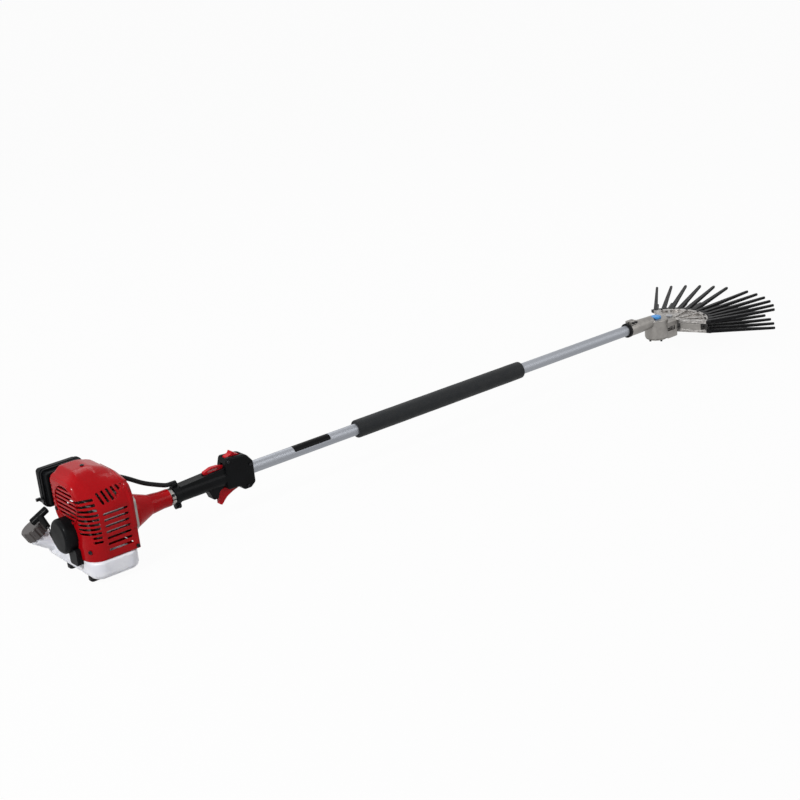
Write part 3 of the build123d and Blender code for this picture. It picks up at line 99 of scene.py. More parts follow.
def add(tree, kind, settings=None, inputs=None):
    """Adds one node; settings are its properties, inputs are values or sockets to wire in."""
    new = tree.nodes.new(kind)
    for key, value in (settings or {}).items():
        setattr(new, key, value)
    for key, value in (inputs or {}).items():
        if isinstance(value, bpy.types.NodeSocket):
            tree.links.new(value, new.inputs[key])
        else:
            new.inputs[key].default_value = value
    return new


def open_finish(name, **sockets):
    """New material with its main shader; the sockets' values are set on the shader itself."""
    material = bpy.data.materials.new(name)
    material.use_nodes = True
    tree = material.node_tree
    tree.nodes.clear()
    values = {socket.replace("_", " "): value for socket, value in sockets.items()}
    shader = add(tree, "ShaderNodeBsdfPrincipled", inputs=values)
    add(tree, "ShaderNodeOutputMaterial", inputs={"Surface": shader.outputs[0]})
    place = add(tree, "ShaderNodeTexCoord").outputs["Object"]
    return material, tree, shader, place


# A noise texture seldom leaves this span of values
NOISE_LOW, NOISE_HIGH = 0.3, 0.7


def tint(tree, shader, place, low, high, size_mm, detail=3.0):
    """Soft drift between two near colours, in patches of about the given size."""
    patches = add(
        tree,
        "ShaderNodeTexNoise",
        inputs={"Vector": place, "Scale": 1.0 / (size_mm * MM), "Detail": detail},
    )
    ramp = add(tree, "ShaderNodeValToRGB", inputs={"Fac": patches.outputs["Fac"]})
    first, last = ramp.color_ramp.elements
    first.position, last.position = NOISE_LOW, NOISE_HIGH
    first.color, last.color = linear(low), linear(high)
    tree.links.new(ramp.outputs["Color"], shader.inputs["Base Color"])
    return patches


def dull(tree, shader, patches, low, high):
    """Roughness that wanders with a noise between two values."""
    span = {"From Min": NOISE_LOW, "From Max": NOISE_HIGH, "To Min": low, "To Max": high}
    spread = add(tree, "ShaderNodeMapRange", inputs={"Value": patches.outputs["Fac"], **span})
    tree.links.new(spread.outputs["Result"], shader.inputs["Roughness"])


def raise_bumps(tree, shader, height, depth_mm, edge_mm=0.7):
    """Bump of the given depth from a height socket, on edges that look rounded by the given size."""
    rounded = add(tree, "ShaderNodeBevel", {"samples": 4}, {"Radius": edge_mm * MM})
    bump = add(
        tree,
        "ShaderNodeBump",
        inputs={"Height": height, "Distance": depth_mm * MM, "Normal": rounded.outputs["Normal"]},
    )
    tree.links.new(bump.outputs["Normal"], shader.inputs["Normal"])


# Agreement of the two normals, as a cosine, where the edge tint starts and where it is full; the tint is
# wear on most finishes and a painted highlight on the red shell
WEAR_AND_HIGHLIGHT_STARTS, WEAR_AND_HIGHLIGHT_FULL = 0.99, 0.8


def edge_wear_and_highlight(tree, shader, colour, edge_mm, share):
    """Edge tint, as wear on most finishes and as a painted highlight on the red shell: where a rounded
    normal leaves the face's own one, the colour drifts to the edge colour.
    """
    rounded = add(tree, "ShaderNodeBevel", {"samples": 4}, {"Radius": edge_mm * MM})
    face = add(tree, "ShaderNodeNewGeometry")
    agree = add(
        tree,
        "ShaderNodeVectorMath",
        {"operation": "DOT_PRODUCT"},
        {0: rounded.outputs["Normal"], 1: face.outputs["Normal"]},
    )
    span = {"From Min": WEAR_AND_HIGHLIGHT_STARTS, "From Max": WEAR_AND_HIGHLIGHT_FULL, "To Min": 0.0, "To Max": share}
    worn_and_lit = add(tree, "ShaderNodeMapRange", inputs={"Value": agree.outputs["Value"], **span})
    clean = shader.inputs["Base Color"].links[0].from_socket
    mixed = add(
        tree,
        "ShaderNodeMix",
        {"data_type": "RGBA"},
        {0: worn_and_lit.outputs["Result"], 6: clean, 7: linear(colour)},
    )
    tree.links.new(mixed.outputs[2], shader.inputs["Base Color"])


print("helpers for finishes ready")

# %% [markdown]
# ## Red shell and red paint
# The engine cover is moulded ABS with a high gloss: a slight orange peel from the mould and a
# few dull patches from handling. The clutch housing is a die casting under red enamel, so it
# keeps the grain of the casting below the same gloss.

# %% Red finishes


def moulded_red_abs():
    """Glossy injection-moulded ABS: clear highlights over a faint orange peel, and a lighter red painted on
    the edges as a highlight.
    """
    material, tree, shader, place = open_finish(
        "moulded_red_abs",
        Roughness=0.25,
        IOR=1.53,
        Specular_IOR_Level=0.06,
        Coat_Weight=0.1,
        Coat_Roughness=0.06,
    )
    drift = tint(tree, shader, place, "#96030b", "#a3060f", 60.0)
    dull(tree, shader, drift, 0.2, 0.3)
    # Painted highlight: a lighter red along the rounded edges of the shell
    edge_wear_and_highlight(tree, shader, "#cf3a41", 1.0, 0.5)
    peel = add(
        tree, "ShaderNodeTexNoise", inputs={"Vector": place, "Scale": 1.0 / (5.0 * MM), "Detail": 1.0}
    )
    raise_bumps(tree, shader, peel.outputs["Fac"], 0.05, 2.0)
    return material


def enamelled_casting():
    """Red enamel over a die casting: gloss paint that follows a fine grain."""
    material, tree, shader, place = open_finish(
        "enamelled_casting", Roughness=0.3, IOR=1.5, Specular_IOR_Level=0.06, Coat_Weight=0.08
    )
    drift = tint(tree, shader, place, "#a8050e", "#b50812", 40.0)
    dull(tree, shader, drift, 0.26, 0.4)
    edge_wear_and_highlight(tree, shader, "#b83d41", 0.8, 0.5)
    grain = add(
        tree, "ShaderNodeTexNoise", inputs={"Vector": place, "Scale": 1.0 / (1.6 * MM), "Detail": 4.0}
    )
    raise_bumps(tree, shader, grain.outputs["Fac"], 0.08)
    return material


def red_control_nylon():
    """Satin nylon of the trigger, lever and switch."""
    material, tree, shader, place = open_finish(
        "red_control_nylon", Roughness=0.38, IOR=1.53, Specular_IOR_Level=0.12
    )
    drift = tint(tree, shader, place, "#a90c18", "#b6101c", 25.0)
    dull(tree, shader, drift, 0.32, 0.46)
    grain = add(
        tree, "ShaderNodeTexNoise", inputs={"Vector": place, "Scale": 1.0 / (0.8 * MM), "Detail": 2.0}
    )
    raise_bumps(tree, shader, grain.outputs["Fac"], 0.03)
    return material


red_abs = moulded_red_abs()
red_enamel = enamelled_casting()
red_nylon = red_control_nylon()
print("red finishes ready")

# %% [markdown]
# ## White tank
# Fuel tanks are blow-moulded polyethylene: milky, a little waxy, and light goes in a few
# millimetres before it comes out again, which is what subsurface scattering does.

# %% Tank finish


def blown_polyethylene():
    """Milky polyethylene with a waxy sheen and a soft mottling."""
    material, tree, shader, place = open_finish(
        "blown_polyethylene", Roughness=0.36, IOR=1.51, Subsurface_Weight=0.35, Subsurface_Scale=4.0 * MM
    )
    shader.inputs["Subsurface Radius"].default_value = (1.0, 0.95, 0.9)
    drift = tint(tree, shader, place, "#dddee6", "#ecedf2", 45.0)
    dull(tree, shader, drift, 0.32, 0.44)
    wax = add(
        tree, "ShaderNodeTexNoise", inputs={"Vector": place, "Scale": 1.0 / (7.0 * MM), "Detail": 2.0}
    )
    raise_bumps(tree, shader, wax.outputs["Fac"], 0.12)
    return material


tank_white = blown_polyethylene()
print("tank finish ready")

# %% [markdown]
# ## Black plastics, rubber and foam
# Four different blacks meet on this tool. The handle and starter are spark-eroded ABS with a
# leathery grain, the fingers are smoother glass-filled nylon, hoses are rubber, and the long
# grip is closed-cell EVA foam that hardly shines at all.

# %% Black finishes


def grained_black_abs():
    """Black ABS from a spark-eroded mould: fine even grain, broad dull highlight."""
    material, tree, shader, place = open_finish(
        "grained_black_abs",
        Roughness=0.45,
        IOR=1.53,
        Specular_IOR_Level=0.05,
        Coat_Weight=0.05,
        Coat_Roughness=0.18,
    )
    drift = tint(tree, shader, place, "#070809", "#0e0f11", 30.0)
    dull(tree, shader, drift, 0.4, 0.56)
    edge_wear_and_highlight(tree, shader, "#303236", 0.8, 0.6)
    grain = add(tree, "ShaderNodeTexVoronoi", inputs={"Vector": place, "Scale": 1.0 / (1.1 * MM)})
    raise_bumps(tree, shader, grain.outputs["Distance"], 0.05)
    return material


def glass_filled_nylon():
    """Satin black nylon of the fingers, with faint streaks of flow along them."""
    material, tree, shader, place = open_finish(
        "glass_filled_nylon", Roughness=0.4, IOR=1.53, Specular_IOR_Level=0.12
    )
    drift = tint(tree, shader, place, "#0e0e10", "#171719", 9.0)
    dull(tree, shader, drift, 0.34, 0.5)
    edge_wear_and_highlight(tree, shader, "#45454a", 0.6, 0.6)
    grain = add(
        tree, "ShaderNodeTexNoise", inputs={"Vector": place, "Scale": 1.0 / (0.9 * MM), "Detail": 3.0}
    )
    raise_bumps(tree, shader, grain.outputs["Fac"], 0.04)
    return material


def closed_cell_foam():
    """EVA foam: matte, with burst cells drawn at 1.4 mm so that they show."""
    material, tree, shader, place = open_finish(
        "closed_cell_foam", Roughness=0.65, IOR=1.45, Specular_IOR_Level=0.3, Sheen_Weight=0.04
    )
    drift = tint(tree, shader, place, "#0f1113", "#181b1e", 14.0)
    dull(tree, shader, drift, 0.56, 0.74)
    cells = add(tree, "ShaderNodeTexVoronoi", inputs={"Vector": place, "Scale": 1.0 / (1.4 * MM)})
    raise_bumps(tree, shader, cells.outputs["Distance"], 0.2)
    return material


def hose_rubber():
    """Nitrile rubber: dark, dry, slightly dusty."""
    material, tree, shader, place = open_finish(
        "hose_rubber", Roughness=0.55, IOR=1.52, Specular_IOR_Level=0.12
    )
    drift = tint(tree, shader, place, "#0d0d0e", "#161618", 12.0)
    dull(tree, shader, drift, 0.46, 0.62)
    skin = add(
        tree, "ShaderNodeTexNoise", inputs={"Vector": place, "Scale": 1.0 / (0.7 * MM), "Detail": 2.0}
    )
    raise_bumps(tree, shader, skin.outputs["Fac"], 0.03)
    return material


black_abs = grained_black_abs()
black_nylon = glass_filled_nylon()
black_foam = closed_cell_foam()
black_rubber = hose_rubber()
print("black finishes ready")

# %% [markdown]
# ## Metals
# The pole is drawn and anodised, so it carries fine lines along its length. The gear head and
# crankcase are pressure castings, tumbled to a dull silver. Shafts and races are turned steel,
# and the screws are blackened.

# %% Metal finishes


def drawn_anodised_tube():
    """Anodised aluminium tube: satin silver, with broad faint bands along its length from drawing."""
    material, tree, shader, place = open_finish("drawn_anodised_tube", Metallic=1.0, Roughness=0.52)
    along_tube = add(tree, "ShaderNodeMapping", inputs={"Vector": place, "Scale": (0.01, 1.0, 1.0)})
    lines = tint(tree, shader, along_tube.outputs["Vector"], "#92959b", "#9da0a6", 9.0, 1.0)
    dull(tree, shader, lines, 0.5, 0.58)
    return material


def tumbled_casting():
    """Die-cast aluminium, tumbled: dull warm silver with soft grain and brighter edges."""
    material, tree, shader, place = open_finish("tumbled_casting", Metallic=1.0, Roughness=0.42)
    drift = tint(tree, shader, place, "#868380", "#989591", 14.0, 4.0)
    dull(tree, shader, drift, 0.36, 0.52)
    edge_wear_and_highlight(tree, shader, "#c6c3be", 0.8, 0.7)
    grain = add(
        tree, "ShaderNodeTexNoise", inputs={"Vector": place, "Scale": 1.0 / (1.2 * MM), "Detail": 4.0}
    )
    raise_bumps(tree, shader, grain.outputs["Fac"], 0.08)
    return material


def raw_casting():
    """Carrier plates as they leave the mould: bright and pitted, with dark residue in the hollows."""
    material, tree, shader, place = open_finish("raw_casting", Metallic=1.0, Roughness=0.45)
    drift = tint(tree, shader, place, "#716e6c", "#c6c3c0", 7.0, 6.0)
    dull(tree, shader, drift, 0.55, 0.36)
    edge_wear_and_highlight(tree, shader, "#e6e3df", 0.8, 0.8)
    raise_bumps(tree, shader, drift.outputs["Fac"], 0.5)
    return material


def turned_steel():
    """Turned steel of shafts, gears and races."""
    material, tree, shader, place = open_finish("turned_steel", Metallic=1.0, Roughness=0.3)
    drift = tint(tree, shader, place, "#8c8d90", "#a6a7aa", 8.0)
    dull(tree, shader, drift, 0.24, 0.4)
    marks = add(
        tree, "ShaderNodeTexNoise", inputs={"Vector": place, "Scale": 1.0 / (0.5 * MM), "Detail": 2.0}
    )
    raise_bumps(tree, shader, marks.outputs["Fac"], 0.02)
    return material


def blackened_screw_steel():
    """Oil-blackened screws: dark, half-metal, with rubbed brighter patches."""
    material, tree, shader, place = open_finish("blackened_screw_steel", Metallic=0.9, Roughness=0.38)
    drift = tint(tree, shader, place, "#1a1a1c", "#3a3a3d", 2.5)
    dull(tree, shader, drift, 0.3, 0.5)
    return material


tube_alloy = drawn_anodised_tube()
cast_alloy = tumbled_casting()
carrier_alloy = raw_casting()
steel = turned_steel()
screw_black = blackened_screw_steel()
print("metal finishes ready")

# %% [markdown]
# ## Small finishes
# The plug over the gear head is blue polyethylene, the fuel cap a dark brown-grey nylon, the
# primer bulb clear soft vinyl, and the filter element open foam.

# %% Small finishes


def blue_polyethylene():
    """Soft blue plug, slightly waxy."""
    material, tree, shader, place = open_finish(
        "blue_polyethylene", Roughness=0.42, IOR=1.51, Subsurface_Weight=0.1, Subsurface_Scale=2.0 * MM
    )
    drift = tint(tree, shader, place, "#2f86cc", "#4597d8", 6.0)
    dull(tree, shader, drift, 0.36, 0.5)
    return material


def brown_grey_nylon():
    """Fuel cap nylon, faded to a warm dark grey."""
    material, tree, shader, place = open_finish("brown_grey_nylon", Roughness=0.5, IOR=1.53)
    drift = tint(tree, shader, place, "#3a3635", "#4b4645", 12.0)
    dull(tree, shader, drift, 0.42, 0.6)
    grain = add(tree, "ShaderNodeTexVoronoi", inputs={"Vector": place, "Scale": 1.0 / (1.0 * MM)})
    raise_bumps(tree, shader, grain.outputs["Distance"], 0.04)
    return material


def clear_vinyl():
    """Clear primer bulb, faintly yellow from fuel."""
    material, tree, shader, place = open_finish(
        "clear_vinyl", Roughness=0.12, IOR=1.5, Transmission_Weight=0.7
    )
    tint(tree, shader, place, "#dcd8c4", "#ebe8d8", 6.0)
    return material


def open_foam():
    """Oiled filter foam with open pores."""
    material, tree, shader, place = open_finish("open_foam", Roughness=0.95, IOR=1.45)
    tint(tree, shader, place, "#2a2b2e", "#3c3d40", 4.0)
    pores = add(tree, "ShaderNodeTexVoronoi", inputs={"Vector": place, "Scale": 1.0 / (2.0 * MM)})
    raise_bumps(tree, shader, pores.outputs["Distance"], 0.6)
    return material


blue_plug = blue_polyethylene()
cap_nylon = brown_grey_nylon()
bulb_vinyl = clear_vinyl()
filter_foam = open_foam()
print("small finishes ready")

# %% [markdown]
# ## Dress the solids
# Nearly every solid of the frame keeps its shape and gets the finish of the real piece. The few
# that later steps replace are printed.

# %% Finish for each node
finish_nodes = {
    red_enamel: ["clutch_housing"],
    red_nylon: ["throttle_trigger", "lockout_lever", "stop_switch"],
    tank_white: ["fuel_tank"],
    black_abs: ["starter_drum", "starter_leg", "starter_reel", "filter_base", "filter_cover", "filter_knob"]
    + ["handle_left", "handle_right", "handle_collar", "starter_handle"],
    black_nylon: [hand + "_comb_" + side for hand in ("upper", "lower") for side in ("left", "right")],
    black_rubber: ["tank_feet", "fuel_lines", "throttle_conduit", "neck_seal", "plug_boot", "shaft_bushes"],
    tube_alloy: ["shaft_tube"],
    cast_alloy: ["crankcase", "cylinder", "gearbox_case", "gearbox_cover", "tube_clamp_ring", "carburettor"]
    + ["flywheel_fan"],
    carrier_alloy: ["upper_carrier", "lower_carrier"],
    steel: ["crankshaft", "clutch_shoes", "clutch_drum", "drive_shaft", "bevel_pinion", "hand_crank"]
    + ["pivot_pin", "engine_bearings", "gearbox_bearings", "muffler", "spark_plug", "handle_pins"],
    screw_black: ["engine_screws", "handle_screws", "head_screws", "upper_comb_screws", "lower_comb_screws"]
    + ["choke_lever"],
    blue_plug: ["grease_cap"],
    cap_nylon: ["fuel_cap"],
    bulb_vinyl: ["primer_bulb"],
    filter_foam: ["filter_element"],
}
for finish, names in finish_nodes.items():
    for name in names:
        node = frame["nodes"][name]
        node.data.materials.clear()
        node.data.materials.append(finish)
dressed = {name for names in finish_nodes.values() for name in names}
print("solids that the next steps stand in for:", sorted(set(frame["nodes"]) - dressed))

# %% [markdown]
# ## Rounded casing
# The real casing is one soft moulding whose shoulder rolls over into the roof and the side
# wall. The solid has the same panels, but they meet in creases. Here a copy of its mesh is
# merged and cut by planes 5 mm apart. Each point then moves until a smooth maximum of
# its distances from wall, shoulder and roof is what the plain maximum was, which changes
# nothing away from a crease. Inside and outside move together, so the wall keeps its thickness.

# %% Distances from the casing's panels
# Millimetres ahead of the rear wall, left of the pole's middle plane and above its axis
CASING_LEN, CASING_RIGHT, CORNER_R = 113.0, 86.0, 42.0
ROOF_LINE = [(0.0, 115.0), (13.0, 122.0), (24.0, 134.0), (62.0, 134.0), (95.0, 123.0), (113.0, 107.0)]
SIDE_LINE = [(-86.0, 60.0), (-76.0, 104.0), (-26.0, 140.0)]
SHOULDER_SPOT = np.array((0.0, -48.0, 94.0))
SHOULDER_OUT = np.array(Vector((-0.318, -0.796, 0.515)).normalized())
# How near two distances are where the rounding starts: at the rear edge, between wall and
# shoulder, below the roof, and below the roof towards the right, where the band widens
REAR_REACH, SHOULDER_REACH, ROOF_REACH, RIGHT_REACH = 8.0, 16.0, 20.0, 38.0
BAND_FROM, BAND_TO = -10.0, -40.0


def wall_distance(spots):
    """Millimetres outside the rear and right walls, their upright corner and the leaning upper side."""
    corner = np.minimum(spots[:, :2] - (CORNER_R, CORNER_R - CASING_RIGHT), 0.0)
    distance = np.hypot(corner[:, 0], corner[:, 1]) - CORNER_R
    for (y0, z0), (y1, z1) in zip(SIDE_LINE, SIDE_LINE[1:]):
        out = np.array((z0 - z1, y1 - y0)) / math.hypot(y1 - y0, z1 - z0)
        distance = np.maximum(distance, (spots[:, 1:] - (y0, z0)) @ out)
    return distance


def roof_distance(spots):
    """Millimetres above the roof line."""
    ahead, height = np.array(ROOF_LINE).T
    return spots[:, 2] - np.interp(spots[:, 0], ahead, height)


def soft_maximum(first, second, reach):
    """The larger value, raised where the two are nearer to each other than the reach."""
    nearness = np.maximum(reach - abs(first - second), 0.0)
    return np.maximum(first, second) + nearness**2 / (4 * reach)


def casing_distances(spots):
    """Plain and smooth maximum of the three distances."""
    wall, roof = wall_distance(spots), roof_distance(spots)
    shoulder = (spots - SHOULDER_SPOT) @ SHOULDER_OUT
    ahead = np.clip(spots[:, 0] / CORNER_R, 0.0, 1.0)
    right = np.clip((BAND_FROM - spots[:, 1]) / (BAND_FROM - BAND_TO), 0.0, 1.0)
    roof_reach = ROOF_REACH - REAR_REACH + (RIGHT_REACH - ROOF_REACH) * right
    smooth = soft_maximum(wall, shoulder, REAR_REACH + (SHOULDER_REACH - REAR_REACH) * ahead)
    smooth = soft_maximum(smooth, roof, REAR_REACH + roof_reach * ahead)
    return np.maximum(np.maximum(wall, shoulder), roof), smooth


print("shoulder faces", [round(float(part), 3) for part in SHOULDER_OUT])

# %% Casing cut into small faces
CUT_PITCH = 5.0 * MM
FIRST_CUT = 0.4
MERGE_BELOW = 0.01 * MM
ON_PLANE = 0.001 * MM
FLAT_BELOW = math.radians(0.05)
casing_low, casing_high = (Vector(corner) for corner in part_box("engine_shroud"))
form = bmesh.new()
form.from_mesh(frame["nodes"]["engine_shroud"].data)
bmesh.ops.remove_doubles(form, verts=form.verts[:], dist=MERGE_BELOW)
bmesh.ops.dissolve_limit(form, angle_limit=FLAT_BELOW, verts=form.verts[:], edges=form.edges[:])
for axis in range(3):
    across = Vector(np.eye(3)[axis])
    for step in range(int((casing_high - casing_low)[axis] / CUT_PITCH)):
        cut = casing_low + across * (step + FIRST_CUT) * CUT_PITCH
        everything = form.verts[:] + form.edges[:] + form.faces[:]
        bmesh.ops.bisect_plane(form, geom=everything, dist=ON_PLANE, plane_co=cut, plane_no=across)
bmesh.ops.triangulate(form, faces=form.faces[:])
print("casing cut into", len(form.faces), "faces")

# %% Rounded casing


def new_piece(name, data):
    """Object for a mesh or other data, linked to the scene, at the origin."""
    piece = bpy.data.objects.new(name, data)
    bpy.context.scene.collection.objects.link(piece)
    return piece


# Points down to this depth move fully, and from twice the depth not at all
MOVED_DEPTH = 4.0
NUDGE = 0.05
LEAST_STEEP = 0.2
SHARP_ABOVE = math.radians(28.0)
casing_origin = np.array((casing_high.x - CASING_LEN * MM, 0.0, axis_z))
spots = (np.array([vert.co for vert in form.verts]) - casing_origin) / MM
kept, _ = casing_distances(spots)
near_surface = np.clip((kept + 2 * MOVED_DEPTH) / MOVED_DEPTH, 0.0, 1.0)
for _ in range(4):
    _, smooth = casing_distances(spots)
    nudged = [casing_distances(spots + NUDGE * side)[1] for side in np.eye(3)]
    slope = np.stack([there - smooth for there in nudged], 1) / NUDGE
    steep = np.maximum((slope**2).sum(1), LEAST_STEEP)
    spots -= (near_surface * (smooth - kept) / steep)[:, None] * slope
for vert, spot in zip(form.verts, spots * MM + casing_origin):
    vert.co = spot
casing_mesh = bpy.data.meshes.new("rounded_casing")
form.to_mesh(casing_mesh)
form.free()
casing_mesh.shade_smooth()
casing_mesh.set_sharp_from_angle(angle=SHARP_ABOVE)
casing = new_piece("rounded_casing", casing_mesh)
casing.data.materials.append(red_abs)
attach(casing, "frame")
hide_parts("engine_shroud")
print("rounded casing, faces", len(casing_mesh.polygons))

# %% [markdown]
# ## Foam grip
# The long grip is a sleeve of EVA foam pushed onto the pole. A plain tube would look like
# plastic, so the sleeve is turned from an outline with soft ends and a slight swell, and its
# surface waves by a fraction of a millimetre, as soft foam does. The outline goes along the
# outside and back along the bore, so the sleeve is closed.

# %% Foam grip


WAVES_PER_METRE = 28.0


def turned_sleeve(name, outline, middle, sides, wave_mm):
    """Closed sleeve about the pole from (along, radius) points in metres; its waves follow its place."""
    points = []
    for along, radius in outline:
        for step in range(sides):
            angle = 2 * math.pi * step / sides
            ray = Vector((0.0, math.cos(angle), math.sin(angle)))
            spot = middle + Vector((along, 0.0, 0.0)) + ray * radius
            if radius > tube_radius * 1.2:
                spot += ray * noise.noise(spot * WAVES_PER_METRE) * wave_mm * MM
            points.append(spot)
    faces = []
    for ring in range(len(outline)):
        here = ring * sides
        after = (ring + 1) % len(outline) * sides
        for step in range(sides):
            turn = (step + 1) % sides
            faces.append((here + step, here + turn, after + turn, after + step))
    mesh = bpy.data.meshes.new(name)
    mesh.from_pydata(points, [], faces)
    mesh.shade_smooth()
    return new_piece(name, mesh)


grip_low, grip_high = (Vector(corner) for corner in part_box("foam_grip"))
grip_middle = (grip_low + grip_high) / 2
grip_half = (grip_high.x - grip_low.x) / 2
WAVE_ROOM = 0.25 * MM
GRIP_END_R = 3.5 * MM
GRIP_SWELL = 0.3 * MM
END_STEPS, SWELL_STEPS = 8, 60
grip_r = (grip_high.z - grip_low.z) / 2 - WAVE_ROOM
bore = tube_radius + 0.05 * MM
grip_line = []
for step in range(END_STEPS, -1, -1):
    lean = math.pi / 2 * step / END_STEPS
    along = -grip_half + GRIP_END_R * (1 - math.sin(lean))
    grip_line.append((along, grip_r - GRIP_END_R * (1 - math.cos(lean)) - GRIP_SWELL))
rear_end = grip_line[:]
for step in range(1, SWELL_STEPS):
    share = step / SWELL_STEPS
    swell = GRIP_SWELL * (1 - math.sin(math.pi * share) ** 0.4)
    grip_line.append(((2 * share - 1) * (grip_half - GRIP_END_R), grip_r - swell))
grip_line += [(-along, radius) for along, radius in reversed(rear_end)]
grip_line += [(grip_half, bore), (0.0, bore), (-grip_half, bore)]
grip = turned_sleeve("foam_sleeve", grip_line, grip_middle, sides=64, wave_mm=0.2)
grip.data.materials.append(black_foam)
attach(grip, "frame")
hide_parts("foam_grip")
print("foam sleeve", round(2 * grip_half, 3), "m long, faces", len(grip.data.polygons))

# %% [markdown]
# ## Starter rope
# The recoil rope is a three-strand nylon cord that comes out of the drum's spout and ends in
# the starter handle. Its line is a taut NURBS curve between the two. A geometry tree copies that
# line once for each strand and winds the copies round it, so the twist and the number of
# strands stay numbers that can be changed.

# %% Rope finish


def twisted_nylon():
    """Nylon yarn: dark grey with lighter flecks and a soft sheen of many fibres."""
    material, tree, shader, place = open_finish("twisted_nylon", Roughness=0.6, IOR=1.53, Sheen_Weight=0.2)
    flecks = tint(tree, shader, place, "#1d1e20", "#4c4d50", 1.2, 2.0)
    dull(tree, shader, flecks, 0.5, 0.7)
    raise_bumps(tree, shader, flecks.outputs["Fac"], 0.1, 0.2)
    return material


rope_nylon = twisted_nylon()
print("rope finish ready")

# %% Rope line


def plain_mesh(thing):
    """Plain mesh of what an object's modifiers or curve make."""
    return bpy.data.meshes.new_from_object(thing.evaluated_get(bpy.context.evaluated_depsgraph_get()))


pull_joint = next(joint for joint in frame["joints"] if joint["name"] == "starter_pull")
pull = Vector(pull_joint["axis"])
rope_low, rope_high = (Vector(corner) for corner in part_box("starter_rope"))
rope_r = (rope_high.x - rope_low.x) / 2
rope_inset = Vector((rope_r, rope_r * pull.z, rope_r * pull.y))
rope_ends = (rope_low + rope_inset, rope_high - rope_inset)
route = bpy.data.curves.new("rope_route", "CURVE")
route.dimensions = "3D"
line = route.splines.new("NURBS")
line.points.add(2)
for point, share in zip(line.points, (0.0, 0.5, 1.0)):
    point.co = (*rope_ends[0].lerp(rope_ends[1], share), 1.0)
line.order_u = 3
line.use_endpoint_u = True
route_thing = new_piece("rope_route", route)
route_mesh = plain_mesh(route_thing)
bpy.data.objects.remove(route_thing)

# %% Geometry tree for twisted strands


def strand_tree():
    """Copies a line per strand, winds the copies round it and gives each a round section."""
    tree = bpy.data.node_groups.new("twisted_strands", "GeometryNodeTree")
    wanted = {"Line": "Geometry", "Strands": "Int", "Strand radius": "Float", "Winding radius": "Float"}
    wanted.update({"Turn length": "Float", "Finish": "Material"})
    for name, kind in wanted.items():
        tree.interface.new_socket(name, in_out="INPUT", socket_type="NodeSocket" + kind)
    tree.interface.new_socket("Rope", in_out="OUTPUT", socket_type="NodeSocketGeometry")
    given = add(tree, "NodeGroupInput").outputs
    curve = add(tree, "GeometryNodeMeshToCurve", inputs={0: given["Line"]})
    fine = add(tree, "GeometryNodeResampleCurve", inputs={"Curve": curve.outputs[0], "Count": 120})
    copies = add(
        tree,
        "GeometryNodeDuplicateElements",
        {"domain": "SPLINE"},
        {"Geometry": fine.outputs[0], "Amount": given["Strands"]},
    )
    run = add(tree, "GeometryNodeSplineParameter")
    divide = {"operation": "DIVIDE"}
    turns = add(tree, "ShaderNodeMath", divide, {0: run.outputs["Length"], 1: given["Turn length"]})
    share = add(tree, "ShaderNodeMath", divide, {0: copies.outputs[1], 1: given["Strands"]})
    wound = add(tree, "ShaderNodeMath", {"operation": "ADD"}, {0: turns.outputs[0], 1: share.outputs[0]})
    multiply = {"operation": "MULTIPLY"}
    angle = add(tree, "ShaderNodeMath", multiply, {0: wound.outputs[0], 1: 2 * math.pi})
    across = add(tree, "GeometryNodeInputNormal").outputs[0]
    ahead = add(tree, "GeometryNodeInputTangent").outputs[0]
    beside = add(tree, "ShaderNodeVectorMath", {"operation": "CROSS_PRODUCT"}, {0: ahead, 1: across})
    reach = []
    for wave, way in (("COSINE", across), ("SINE", beside.outputs[0])):
        swing = add(tree, "ShaderNodeMath", {"operation": wave}, {0: angle.outputs[0]})
        size = add(tree, "ShaderNodeMath", multiply, {0: swing.outputs[0], 1: given["Winding radius"]})
        scaled = {0: way, "Scale": size.outputs[0]}
        reach.append(add(tree, "ShaderNodeVectorMath", {"operation": "SCALE"}, scaled))
    offset = add(
        tree, "ShaderNodeVectorMath", {"operation": "ADD"}, {0: reach[0].outputs[0], 1: reach[1].outputs[0]}
    )
    wrapped = add(
        tree, "GeometryNodeSetPosition", inputs={"Geometry": copies.outputs[0], "Offset": offset.outputs[0]}
    )
    section = add(
        tree,
        "GeometryNodeCurvePrimitiveCircle",
        inputs={"Resolution": 10, "Radius": given["Strand radius"]},
    )
    skin = add(
        tree,
        "GeometryNodeCurveToMesh",
        inputs={"Curve": wrapped.outputs[0], "Profile Curve": section.outputs[0], "Fill Caps": True},
    )
    real = add(tree, "GeometryNodeRealizeInstances", inputs={0: skin.outputs[0]})
    painted = add(
        tree, "GeometryNodeSetMaterial", inputs={"Geometry": real.outputs[0], "Material": given["Finish"]}
    )
    add(tree, "NodeGroupOutput", inputs={0: painted.outputs[0]})
    return tree


def grow(name, seed_mesh, tree, values):
    """Runs a geometry tree on a mesh with its named inputs set, and gives back a plain mesh piece."""
    thing = new_piece(name, seed_mesh)
    maker = thing.modifiers.new("grow", "NODES")
    maker.node_group = tree
    for item in tree.interface.items_tree:
        if item.in_out == "INPUT" and item.name in values:
            maker[item.identifier] = values[item.name]
    grown = plain_mesh(thing)
    thing.modifiers.remove(maker)
    thing.data = grown
    grown.shade_smooth()
    return thing


strands = strand_tree()
print("strand tree has", len(strands.nodes), "nodes")

# %% Rope
ROPE_STRANDS = 3
ROPE_TURN = 11.0 * MM
narrow = math.sin(math.pi / ROPE_STRANDS)
strand_r = rope_r * narrow / (1 + narrow)
rope = grow(
    "starter_rope_strands",
    route_mesh,
    strands,
    {
        "Strands": ROPE_STRANDS,
        "Strand radius": strand_r,
        "Winding radius": rope_r - strand_r,
        "Turn length": ROPE_TURN,
        "Finish": rope_nylon,
    },
)
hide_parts("starter_rope")
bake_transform(rope)
print("rope faces", len(rope.data.polygons))

